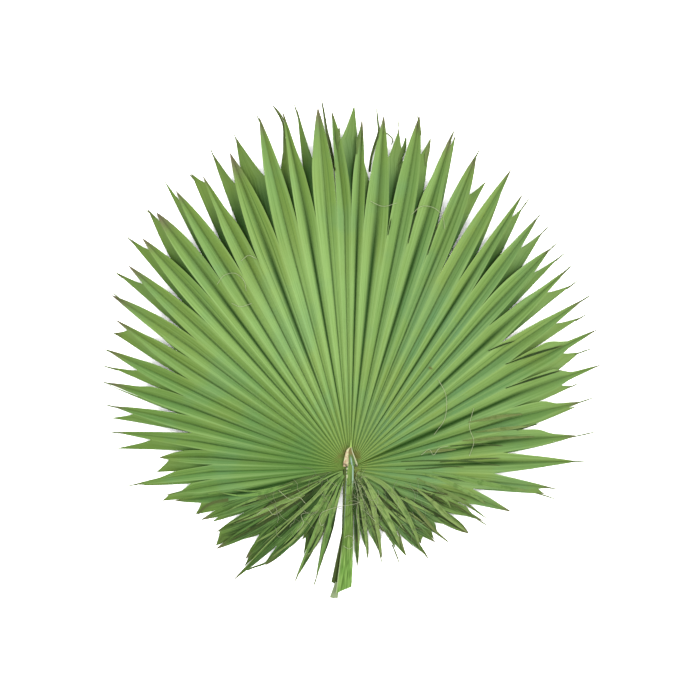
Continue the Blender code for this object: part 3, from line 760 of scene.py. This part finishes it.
def laid_heights(ground, line, reach):
    """Heights for a line that lies on the ground and bridges what is narrower than its reach."""
    raw = [ground.height(point.x, point.y) for point in line]
    count = len(raw)
    high = [max(raw[max(i - reach, 0):min(i + reach + 1, count)]) for i in range(count)]
    for _ in range(3):
        high = [
            (high[max(i - 1, 0)] + high[i] + high[min(i + 1, count - 1)]) / 3
            for i in range(count)
        ]
    return [max(a, b) for a, b in zip(high, raw)]


def across_line(line, number):
    before, after = line[max(number - 1, 0)], line[min(number + 1, len(line) - 1)]
    way = (after - before).normalized()
    return Vector((way.y, -way.x))


def lay_strip(skin, ground, places, widths, dry, dark, mark):
    """A strip with a fold along its middle, lying on the blade."""
    line = smooth_line(places, STRIP_STEP)
    heights = laid_heights(ground, line, 1)
    first, middle, last = widths
    lift = STRIP_LIFT * ease((0.9 - dark) / 0.3)
    rows = []
    for number, (point, level) in enumerate(zip(line, heights)):
        share = number / (len(line) - 1)
        if share < 0.5:
            width = mix(first, middle, ease(share * 2)) * MM
        else:
            width = mix(middle, last, share * 2 - 1) * MM
        width *= min(0.3 + (1 - share) * 9, 1.0)
        side = across_line(line, number)
        rise = STRIP_RISE + lift * math.sin(math.pi * share)
        row = []
        for lane in STRIP_LANES:
            spot = point + side * lane * width / 2
            z = level + rise + STRIP_FOLD * abs(lane) * width * (1 if mark > 0.5 else -1)
            z = max(z, ground.height(spot.x, spot.y) + STRIP_GAP) if lane else z
            tint = dry * mix(0.6, 1.0, share)
            row.append(((spot.x, spot.y, max(z, 0.0)), (lane, share, dark, mark, tint), 0.0))
        rows.append(row)
    skin.patch(rows)


def build_strips(ground, segments, material):
    """Strips of the table, needles, loose strips over the crumpled segments, and dark strips in
    the slits as painted shadow.
    """
    chance = random.Random(SEED + 2)
    skin = Skin(STRIP_FIELDS)

    def lay(places, widths, dry, dark):
        lay_strip(skin, ground, places, widths, dry, dark, chance.random())

    for row in STRIPS:
        lay(*row)
    for bearing, reach, last_bearing, last_reach in NEEDLES:
        middle = mix(bearing, last_bearing, 0.4), mix(reach, last_reach, 0.5)
        ends = ((bearing, reach), middle, (last_bearing, last_reach))
        places = [
            (radius * math.sin(math.radians(angle)), radius * math.cos(math.radians(angle)))
            for angle, radius in ends
        ]
        lay(places, NEEDLE_WIDTHS, NEEDLE_DRYNESS, NEEDLE_DARKNESS)
    for number in range(LOOSE_STRIPS):
        lowest, highest = LOOSE_LEFT if number % 2 else LOOSE_RIGHT
        bearing = chance.uniform(lowest, highest)
        segment = min(segments, key=lambda segment: abs(segment.valley - bearing))
        far = segment.reach * chance.uniform(0.5, 0.93)
        near = chance.uniform(0.05, 0.4) * segment.reach + HUB_RADIUS
        near += 0.25 * segment.reach * ease((140 - bearing) / 20) * (bearing > 0)
        drift = chance.uniform(-4, 4)
        places = []
        for part in range(5):
            share = part / 4
            radius = mix(near, far, share)
            bend = bearing + drift * share * (1 - share) * 2 + (segment.tip - bearing) * share ** 3
            x, y = place(bend, radius)
            places.append((x / MM, y / MM))
        width = chance.uniform(2.0, 6.0)
        dry = chance.choice((0.0, 0.0, 0.1, 0.2, 0.5))
        # Some loose strips are dark, as painted shadow in the gaps of the crumpled parts
        dark = chance.choice((0.0, 0.0, 0.3, 1.0, 1.0))
        lay(places, (1.5, width, 1.0), dry, dark)
    for row in SPLITS:
        lay(*row)
    return skin.make("loose_strips", STRIP_THICKNESS, material)


def add_fibre(bm, tint, line, heights, radius, pale):
    """A thin closed tube of three sides along a line."""
    rings = []
    for number, (point, level) in enumerate(zip(line, heights)):
        side = across_line(line, number)
        ring = []
        for degrees in (90, 210, 330):
            angle = math.radians(degrees)
            spot = point + side * math.cos(angle) * radius
            z = max(level + radius * (0.7 + math.sin(angle)), 0.0)
            ring.append(bm.verts.new((spot.x, spot.y, z)))
        rings.append(ring)
    faces = [bm.faces.new(rings[0][::-1]), bm.faces.new(rings[-1])]
    for first, second in zip(rings, rings[1:]):
        faces += [face for _, face in ring_faces(bm, first, second)]
    for face in faces:
        for loop in face.loops:
            loop[tint] = pale


def build_fibres(ground, material):
    """Pale threads of the table, loose ones beside the stalk and a dark tangle at its right, dark
    as dead fibres and as painted shade.
    """
    chance = random.Random(SEED + 3)
    bm = bmesh.new()
    tint = bm.loops.layers.float.new("pale")
    for places in FIBRES:
        line = smooth_line(places, FIBRE_STEP)
        add_fibre(bm, tint, line, laid_heights(ground, line, 2), FIBRE_RADIUS, 1.0)
    for number in range(LOOSE_FIBRES):
        tangle = number % 2 == 0
        if tangle:
            x, y = chance.uniform(6, 30), -22 - 66 * chance.random() ** 1.4
        else:
            lowest, highest = LOOSE_LEFT if number % 4 == 1 else LOOSE_RIGHT
            x, y = place(chance.uniform(lowest, highest), chance.uniform(45, 175) * MM)
            x, y = x / MM, y / MM
        way = chance.uniform(0, 2 * math.pi)
        places = [(x, y)]
        for _ in range(4):
            way += chance.uniform(-0.9, 0.9)
            length = chance.uniform(3, 8) if tangle else chance.uniform(5, 12)
            x, y = x + length * math.cos(way), y + length * math.sin(way)
            places.append((x, y))
        line = smooth_line(places, FINE_STEP)
        radius = FINE_RADIUS * chance.uniform(0.7, 1.2)
        # The tangle is mostly near black: dead fibres and painted shade beside the stalk
        pale = chance.choice((0.0, 0.0, 0.5, 0.8)) if tangle else chance.uniform(0.2, 0.8)
        add_fibre(bm, tint, line, laid_heights(ground, line, 2), radius, pale)
    return smooth_object("leaf_fibres", bm, material)


def srgb(red, green, blue):
    """A colour as it looks on screen under the stage's light, from 0 to 255, for the shader."""
    parts = []
    for value in (red, green, blue):
        value /= 255
        value = value / 12.92 if value <= 0.04045 else ((value + 0.055) / 1.055) ** 2.4
        parts.append(value / LIGHT)
    return (*parts, 1.0)


class Graph:
    """Short words for the nodes of one material."""

    def __init__(self, name):
        self.material = bpy.data.materials.new(name)
        self.material.use_nodes = True
        self.tree = self.material.node_tree
        self.shader = self.tree.nodes["Principled BSDF"]

    def node(self, kind, inputs, **settings):
        made = self.tree.nodes.new(kind)
        for key, value in settings.items():
            setattr(made, key, value)
        for key, value in inputs.items():
            if isinstance(value, bpy.types.NodeSocket):
                self.tree.links.new(value, made.inputs[key])
            else:
                made.inputs[key].default_value = value
        return made

    def field(self, name):
        return self.node("ShaderNodeAttribute", {}, attribute_name=name).outputs["Fac"]

    def fields(self, *names):
        return [self.field(name) for name in names]

    def place(self):
        return self.node("ShaderNodeTexCoord", {}).outputs["Object"]

    def math(self, operation, first, second=0.0):
        return self.node("ShaderNodeMath", {0: first, 1: second}, operation=operation).outputs[0]

    def times(self, first, *others):
        for other in others:
            first = self.math("MULTIPLY", first, other)
        return first

    def plus(self, first, *others):
        for other in others:
            first = self.math("ADD", first, other)
        return first

    def band(self, value, middle, half_width, core=0.0):
        """1 where the value is within the core round the middle, 0 from the half width on."""
        distance = self.math("ABSOLUTE", self.math("SUBTRACT", value, middle))
        return self.step(distance, half_width, core)

    def step(self, value, low, high):
        """0 below low, 1 above high and a smooth rise between; low may be the larger one."""
        limits = {"Value": value, "From Min": low, "From Max": high}
        return self.node("ShaderNodeMapRange", limits, interpolation_type="SMOOTHSTEP").outputs[0]

    def blend(self, share, first, second):
        inputs = {0: share, 6: first, 7: second}
        return self.node("ShaderNodeMix", inputs, data_type="RGBA").outputs[2]

    def paint(self, shade, *shares):
        """Lays a shade over the colour so far, as much as the product of the shares."""
        self.colour = self.blend(self.times(*shares), self.colour, srgb(*shade))

    def vector(self, x, y, z=0.0):
        return self.node("ShaderNodeCombineXYZ", {0: x, 1: y, 2: z}).outputs[0]

    def noise(self, vector, scale, detail=2.0, roughness=0.5):
        inputs = {"Vector": vector, "Scale": scale, "Detail": detail, "Roughness": roughness}
        return self.node("ShaderNodeTexNoise", inputs).outputs[0]

    def bump(self, height, strength, distance):
        inputs = {"Height": height, "Strength": strength, "Distance": distance}
        return self.node("ShaderNodeBump", inputs).outputs[0]

    def finish(self, roughness, normal=None):
        for name, value in (("Base Color", self.colour), ("Roughness", roughness)):
            if isinstance(value, bpy.types.NodeSocket):
                self.tree.links.new(value, self.shader.inputs[name])
            else:
                self.shader.inputs[name].default_value = value
        self.shader.inputs["Specular IOR Level"].default_value = SPECULAR
        if normal:
            self.tree.links.new(normal, self.shader.inputs["Normal"])
        return self.material


def leaf_material():
    """Green of the blade: painted light and shade on the two halves of a pleat, veins, painted
    shade in the creases, and dry tips.
    """
    g = Graph("leaf_green")
    lane, along, turn, half, mark, dry, gloom, crease_shade, fold = g.fields(*FIELDS)
    right = g.step(turn, -0.03, 0.16)
    crumpled = g.step(g.math("ABSOLUTE", turn), 0.54, 0.66)

    # Painted light and shade: the half that faces the key light lighter, the other half darker,
    # with a painted bluish reflection on it in the right half of the fan
    painted_lit_half = g.blend(right, srgb(140, 180, 102), srgb(134, 170, 92))
    painted_shaded_half = g.blend(right, srgb(128, 164, 80), srgb(112, 156, 98))
    g.colour = g.blend(half, painted_lit_half, painted_shaded_half)
    # Painted shade: darker on the left side of the fan, from about 40 degrees off the top
    g.paint((86, 134, 64), g.step(turn, -0.22, -0.42), 0.75)

    # Each segment and half a little different, painted light on the upper left middle of the fan,
    # a painted highlight along the ridges, then broad patches
    place = g.place()
    own = g.plus(g.times(mark, 17.3), g.times(half, 0.37))
    g.paint((98, 144, 68), g.math("FRACT", own), 0.4)
    other = g.plus(g.times(mark, 41.7), g.times(half, 0.61))
    g.paint((150, 180, 86), g.math("FRACT", other), 0.25)
    # Painted light: lighter in the middle reach of the upper left part of the fan
    painted_light_top_left = g.times(g.step(turn, -0.26, -0.14), g.step(turn, 0.1, 0.0))
    middle = g.times(g.step(along, 0.16, 0.34), g.step(along, 0.74, 0.5))
    g.paint((162, 202, 118), painted_light_top_left, middle, 0.45)
    # Painted highlight along the ridges
    g.paint((172, 206, 126), g.step(lane, 0.7, 1.0), 0.3)
    yellow = g.step(g.noise(place, 7.0), 0.45, 0.7)
    g.paint((140, 158, 64), yellow, 0.3)
    blue = g.step(g.noise(place, 11.0, 3.0), 0.5, 0.66)
    g.paint((104, 158, 116), blue, 0.25)

    # Streaks along the segments
    across = g.plus(g.times(lane, 9.0), g.times(mark, 91.0), g.times(half, 37.0))
    streaks = g.noise(g.vector(across, g.times(along, 2.2)), 1.6, 3.0, 0.6)
    broad = g.noise(g.vector(across, g.times(along, 3.0), 4.0), 0.45, 2.0)
    g.paint((88, 128, 52), g.step(streaks, 0.45, 0.7), 0.55)
    g.paint((156, 194, 116), g.step(broad, 0.46, 0.68), 0.4)

    # Painted shade in the creases and along the second fold beside them
    width = g.plus(g.times(crease_shade, 0.26), 0.16)
    strength = g.plus(g.times(crease_shade, 0.45), 0.62)
    crease = g.times(g.step(lane, width, 0.0), g.math("MINIMUM", strength, 1.0))
    free = g.step(along, 0.58, 0.8)
    # Painted shade on the half that faces away from the key light, out on the free lobes
    g.paint((112, 146, 54), half, free, 0.3)
    g.paint((44, 82, 26), crease, g.math("SUBTRACT", 1.0, g.times(free, 0.55)))
    g.paint((66, 108, 40), g.band(lane, FOLD_LANE, FOLD_HALF_WIDTH / 2), fold, 0.6)

    # Towards the hub
    # Painted shade towards the hub on the low left side and, less, on the low right side beside
    # the stalk
    low_right = g.times(g.step(turn, 0.3, 0.4), 0.5)
    low_side = g.math("MAXIMUM", g.step(turn, -0.12, -0.36), low_right)
    g.paint((74, 122, 46), g.step(along, 0.6, 0.15), low_side, 0.5)
    hub = g.step(along, 0.22, 0.02)
    g.paint((100, 126, 40), hub, 0.5)
    # Painted highlight along the ridges near the hub
    g.paint((168, 192, 96), g.step(lane, 0.6, 1.0), hub, 0.75)
    brown = g.step(g.noise(place, 60.0), 0.4, 0.6)
    g.paint((122, 106, 52), g.step(along, 0.08, 0.035), brown, 0.6)

    # Painted shade in the crumpled parts beside the stalk, with darker spots for the shadowed gaps
    # among them; second lobes and tips
    shade_gap_spots = g.noise(g.vector(across, g.times(along, 6.0), 9.0), 0.8, 4.0, 0.7)
    g.paint((58, 98, 38), crumpled, g.step(turn, 0.0, -0.1), 0.4)
    calm = g.times(g.step(turn, 0.82, 0.72), g.step(turn, 0.0, 0.1))
    smooth = g.times(calm, g.step(along, 0.6, 0.3), 0.85)
    crumple_shade = g.times(crumpled, g.math("SUBTRACT", 1.0, smooth))
    g.paint((50, 80, 26), crumple_shade, g.step(along, 0.5, 0.3), 0.5)
    # Painted shadow in the gaps of the crumpled parts
    g.paint((34, 58, 20), crumple_shade, g.step(shade_gap_spots, 0.42, 0.6), 0.9)
    # Second lobes darker: their own darker green and painted shade, most near the notch where they
    # lie low beside the next lobe
    g.paint((34, 74, 26), gloom)
    g.paint((124, 146, 62), g.step(along, 0.8, 1.0), 0.35)
    g.paint((126, 116, 92), dry)

    veins = g.math("SINE", g.times(lane, 62.0))
    fine = g.plus(g.times(veins, 0.5), streaks)
    roughness = g.plus(g.times(streaks, 0.25), 0.38)
    return g.finish(roughness, g.bump(fine, 0.35, 0.0006))


def strip_material():
    """Bright or dried green with veins along the strip, dark green as painted shade where a strip
    stands for a shadowed gap.
    """
    g = Graph("strip_green")
    lane, along, dark, mark, dry = g.fields(*STRIP_FIELDS)
    g.colour = g.blend(mark, srgb(122, 166, 82), srgb(146, 172, 98))
    # Painted shade: the dark strips stand for the shadows in gaps and slits
    g.paint((38, 60, 20), dark)
    across = g.plus(g.times(lane, 3.0), g.times(mark, 71.0))
    streaks = g.noise(g.vector(across, g.times(along, 3.0)), 1.5, 3.0, 0.6)
    g.paint((66, 92, 34), g.step(streaks, 0.42, 0.66), 0.5)
    worn = g.step(g.noise(g.place(), 70.0, 3.0, 0.6), 0.5, 0.64)
    g.paint((64, 104, 38), worn, 0.5)
    g.paint((114, 118, 66), dry, 0.85)
    g.paint((126, 122, 80), g.step(along, 0.85, 1.0), 0.4)
    edge = g.step(g.math("ABSOLUTE", lane), 0.8, 1.0)
    bright = g.times(g.math("SUBTRACT", 1.0, dark), 0.4)
    g.paint((180, 202, 132), edge, bright)
    return g.finish(0.5, g.bump(streaks, 0.4, 0.0005))


def fibre_material():
    """Cream on the loose threads, near black in the tangle, as dead fibres and painted shade."""
    g = Graph("fibre_cream")
    grain = g.noise(g.place(), 160.0)
    g.colour = g.blend(g.field("pale"), srgb(48, 62, 26), srgb(216, 226, 182))
    g.paint((140, 168, 96), grain, 0.3)
    return g.finish(0.7)


def read_stations(stations, y):
    """Values between the rows of a table, read at y; rows run from high y to low or back."""
    rows = sorted(stations)
    y = min(max(y, rows[0][0]), rows[-1][0])
    for low, high in zip(rows, rows[1:]):
        if y <= high[0]:
            share = (y - low[0]) / (high[0] - low[0])
            return [mix(a, b, share) for a, b in zip(low[1:], high[1:])]
    return list(rows[-1][1:])


def rounded(points, steps):
    """A closed ring of points with a smooth curve through them, steps points to a side."""
    count = len(points)
    made = []
    for number in range(count):
        near = [Vector(points[(number + shift) % count]) for shift in (-1, 0, 1, 2)]
        made += [curve_point(*near, step / steps) for step in range(steps)]
    return made


def stalk_rings():
    """Cross-sections of the stalk from its rounded end in the hub to its slanted cut."""
    section = rounded(STALK_SECTION, 3)
    last = STALK_STATIONS[-1][0]
    rings = []
    for degrees in (84, 70, 52, 34, 16):
        angle = math.radians(degrees)
        half_width = STALK_HALF_WIDTH * math.cos(angle)
        height = STALK_HEIGHT * mix(0.93, 1.0, math.cos(angle))
        y = STALK_HALF_WIDTH * math.sin(angle)
        rings.append([(across * half_width, y, max(up, 0) * height) for across, up in section])
    for number in range(STALK_RINGS + 1):
        level = last * number / STALK_RINGS
        left, right, height = (value * MM for value in read_stations(STALK_STATIONS, level))
        slant = CUT_SLANT * ease((level / last - 0.8) / 0.2)
        ring = []
        for across, up in section:
            knob = STALK_KNOBS * noise.noise(Vector((across * 2, level * 0.16, 5.0)))
            x = mix(left, right, (across + 1) / 2) + knob * across
            z = max(up, 0) * height
            ring.append((x, level * MM - slant * (right - x), z))
        rings.append(ring)
    return rings


def build_stalk(material):
    bm = bmesh.new()
    around = bm.loops.layers.float.new("lane")
    along = bm.loops.layers.float.new("along")
    cut = bm.loops.layers.float.new("gloom")
    rings = [[bm.verts.new(point) for point in ring] for ring in stalk_rings()]
    count = len(rings[0])
    for number, (first, second) in enumerate(zip(rings, rings[1:])):
        for corner, face in ring_faces(bm, first, second):
            shares = (corner, corner + 1, corner + 1, corner)
            for loop, share, row in zip(face.loops, shares, (0, 0, 1, 1)):
                loop[around] = share / count
                loop[along] = (number + row) / len(rings)
    bm.faces.new(rings[0][::-1])
    end = bm.faces.new(rings[-1])
    for loop in end.loops:
        loop[cut] = 1.0
        loop[along] = 1.0
    shade = bm.loops.layers.float.new("shade")
    for sliver in SLIVERS:
        add_sliver(bm, (along, cut, shade), *sliver)
    item = smooth_object("stalk_skin", bm, material)
    item.data.set_sharp_from_angle(angle=math.radians(STALK_SHARP))
    return item


def add_sliver(bm, layers, upper_right, upper_left, lower_left, lower_right, top, foot, darkness):
    """A strip of skin torn from the stalk; its end is ragged and it curls a little."""
    grid = []
    for row in range(SLIVER_ROWS + 1):
        share = row / SLIVER_ROWS
        line = []
        for column in range(SLIVER_COLUMNS + 1):
            across = column / SLIVER_COLUMNS
            upper = Vector(upper_left).lerp(Vector(upper_right), across)
            spot = upper.lerp(Vector(lower_left).lerp(Vector(lower_right), across), share)
            ragged = SLIVER_RAGGED * noise.noise(Vector((column * 1.7, 9.2, 0.0)))
            ragged *= row == SLIVER_ROWS
            z = mix(top, foot, share ** 0.7) + SLIVER_CURL * math.sin(math.pi * across)
            line.append(bm.verts.new((spot.x * MM, (spot.y + ragged) * MM, z * MM)))
        grid.append(line)
    faces = []
    for first, second in zip(grid, grid[1:]):
        for a, b, c, d in zip(first, first[1:], second[1:], second):
            faces.append(bm.faces.new((a, b, c, d)))
    for face in faces:
        for loop in face.loops:
            for layer, value in zip(layers, (1.0, 0.85 * (1 - darkness), 0.5 + 0.5 * darkness)):
                loop[layer] = value
    raised = bmesh.ops.extrude_face_region(bm, geom=faces)
    for thing in raised["geom"]:
        if isinstance(thing, bmesh.types.BMVert):
            thing.co.z += SLIVER_THICKNESS


def stalk_material():
    """Green with long fibres, pale edges, painted bluish-white highlights near the hub, a painted
    shadow along the right edge near the hub, and a fresh cut.
    """
    g = Graph("stalk_green")
    around, along, cut, shade = g.fields("lane", "along", "gloom", "shade")
    where = g.place()

    fibres = g.noise(g.vector(g.times(around, 60.0), g.times(along, 5.0)), 1.0, 3.0)
    bands = g.noise(g.vector(g.times(around, 22.0), g.times(along, 7.0), 3.0), 1.0)
    patches = g.noise(where, 55.0, 3.0)
    near_cut = g.step(along, 0.6, 0.84)
    top = g.step(along, 0.64, 0.2)
    g.colour = g.blend(g.step(fibres, 0.35, 0.7), srgb(92, 126, 50), srgb(132, 164, 82))
    g.paint((84, 96, 42), g.step(patches, 0.48, 0.7), 0.5)
    g.paint((122, 174, 78), near_cut, 0.6)
    g.paint((78, 112, 40), g.step(bands, 0.46, 0.62), 0.75)
    g.paint((158, 192, 104), g.step(bands, 0.46, 0.34), 0.5)
    # Painted bluish highlight along the upper left of the stalk towards the hub
    highlight_mottle = g.plus(g.times(g.step(g.noise(where, 140.0), 0.4, 0.6), 0.5), 0.5)
    g.paint((200, 220, 222), g.band(around, 0.745, 0.075), top, highlight_mottle)
    g.paint((202, 222, 160), g.band(around, 0.745, 0.055), near_cut, 0.85)
    # Painted shadow along the right edge near the hub
    painted_shadow_right_edge = g.times(g.step(around, 0.45, 0.38), top, g.step(along, 0.16, 0.28))
    g.paint((30, 38, 14), painted_shadow_right_edge, 0.9)
    # Painted bluish-white highlight on the top near the hub
    g.paint((180, 210, 200), g.band(around, 0.41, 0.06), g.step(along, 0.24, 0.14), 0.8)
    bits = g.times(g.step(around, 0.6, 0.68), g.step(along, 0.2, 0.12))
    blots = g.noise(where, 260.0, 1.0)
    g.paint((40, 44, 22), bits, g.step(blots, 0.48, 0.42))
    g.paint((222, 224, 180), bits, g.step(blots, 0.56, 0.62))
    g.paint((158, 172, 134), cut)
    g.paint((70, 82, 36), g.step(shade, 0.6, 0.9), 0.9)
    roughness = g.plus(g.times(patches, 0.2), 0.32)
    return g.finish(roughness, g.bump(fibres, 0.5, 0.0008))


def hollow(across, share):
    """How far the flap is sunk between its two lobes, from 0 to 1; nothing near its point."""
    return ease((across - 0.3) / 0.12) * ease((0.92 - across) / 0.1) * ease((0.55 - share) / 0.3)


def build_flap(material):
    """The hastula: a papery pointed flap that stands over the hub on the stalk's end."""
    skin = Skin(("lane", "along"))
    first = FLAP_STATIONS[0][0]
    length = FLAP_STATIONS[-1][0] - first
    rows = []
    for number in range(FLAP_ROWS + 1):
        share = number / FLAP_ROWS
        level = first + length * share
        left, right = read_stations(FLAP_STATIONS, level)
        base = STALK_HEIGHT + FLAP_CLEARANCE + FLAP_SLOPE * (level - first) * MM
        row = []
        for column in range(FLAP_COLUMNS + 1):
            across = column / FLAP_COLUMNS
            cup = FLAP_CUP * share * abs(across - 0.5) * (right - left) * MM
            wrinkle = FLAP_WRINKLE * noise.noise(Vector((across * 5, level * 0.25, 2.0)))
            sunk = FLAP_HOLLOW * hollow(across, share)
            point = (mix(left, right, across) * MM, level * MM, base + cup + abs(wrinkle) - sunk)
            row.append((point, (across, share), 0.0))
        rows.append(row)
    skin.patch(rows)
    return skin.make("hastula_flap", FLAP_THICKNESS, material)


def flap_material():
    """Papery tan on the left lobe, green in the hollow, pale along the right lobe."""
    g = Graph("dry_flap")
    across, along = g.fields("lane", "along")
    grain = g.noise(g.vector(g.times(across, 14.0), g.times(along, 3.0)), 1.0, 3.0)
    g.colour = g.blend(g.step(grain, 0.35, 0.7), srgb(186, 156, 122), srgb(220, 206, 168))
    cream = g.step(g.noise(g.place(), 130.0), 0.5, 0.62)
    g.paint((226, 228, 178), cream, 0.7)
    middle = g.times(g.step(across, 0.34, 0.42), g.step(across, 0.92, 0.84))
    green = g.times(middle, g.step(along, 0.74, 0.68))
    g.paint((108, 142, 78), green)
    g.paint((138, 116, 76), green, g.step(along, 0.36, 0.52), 0.8)
    # Painted bluish-white highlight, running on from the stalk's top
    g.paint((176, 206, 196), g.band(across, 0.6, 0.08, 0.02), g.step(along, 0.42, 0.26), 0.85)
    g.paint((204, 214, 172), g.step(across, 0.84, 0.92), 0.8)
    spots = g.step(g.noise(g.place(), 210.0), 0.46, 0.56)
    g.paint((40, 40, 26), g.step(along, 0.2, 0.02), spots, 0.9)
    g.paint((170, 204, 106), g.step(along, 0.68, 0.76))
    return g.finish(0.7, g.bump(grain, 0.4, 0.0005))


def add_light(name, strength, azimuth, elevation, spread, colour):
    """A soft light from a compass direction (clockwise from +Y) and an elevation in degrees."""
    light = bpy.data.lights.new(name, "SUN")
    light.energy = strength * LIGHT
    light.angle = math.radians(spread)
    light.color = colour
    item = add_object(name, light)
    a, e = math.radians(azimuth), math.radians(elevation)
    towards = Vector((math.sin(a) * math.cos(e), math.cos(a) * math.cos(e), math.sin(e)))
    item.rotation_mode = "QUATERNION"
    item.rotation_quaternion = towards.to_track_quat("Z", "Y")
    item.location = towards * 3


def build_stage():
    """Pale floor, soft light from all round and from the right, camera looking straight down."""
    mesh = bpy.data.meshes.new("floor")
    signs = ((-1, -1), (1, -1), (1, 1), (-1, 1))
    corners = [(x * FLOOR_HALF, y * FLOOR_HALF, 0) for x, y in signs]
    mesh.from_pydata(corners, [], [(0, 1, 2, 3)])
    g = Graph("floor_white")
    g.colour = (0.93, 0.93, 0.93, 1.0)
    mesh.materials.append(g.finish(0.9))
    floor = add_object("floor", mesh)

    world = bpy.data.worlds.new("studio")
    world.use_nodes = True
    background = world.node_tree.nodes["Background"]
    background.inputs["Color"].default_value = (1.0, 1.0, 1.0, 1.0)
    background.inputs["Strength"].default_value = 0.86 * LIGHT
    bpy.context.scene.world = world
    add_light("key", 1.1, 68, 46, 25, (1.0, 0.98, 0.92))
    add_light("fill", 0.25, -100, 50, 60, (0.9, 0.95, 1.0))

    camera = bpy.data.cameras.new("camera")
    camera.lens = LENS
    camera.sensor_width = SENSOR
    item = add_object("camera", camera)
    height = PICTURE_SIDE * PIXEL * LENS / SENSOR + PICTURE_LEVEL
    item.location = (0.0, HUB_BELOW_MIDDLE * PIXEL, height)
    bpy.context.scene.camera = item
    bpy.context.scene.view_settings.view_transform = "Standard"


build_stage()
blade, segments = build_blade(leaf_material())
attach(blade, "root")
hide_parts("blade")
stalk = build_stalk(stalk_material())
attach(stalk, "root")
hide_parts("stalk")
flap = build_flap(flap_material())
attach(flap, "root")
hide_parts("hastula")
ground = Ground((blade, stalk))
strips = build_strips(ground, segments, strip_material())
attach(strips, "root")
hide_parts("blade")
fibres = build_fibres(Ground((blade, stalk, strips)), fibre_material())
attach(fibres, "root")
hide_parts("blade")
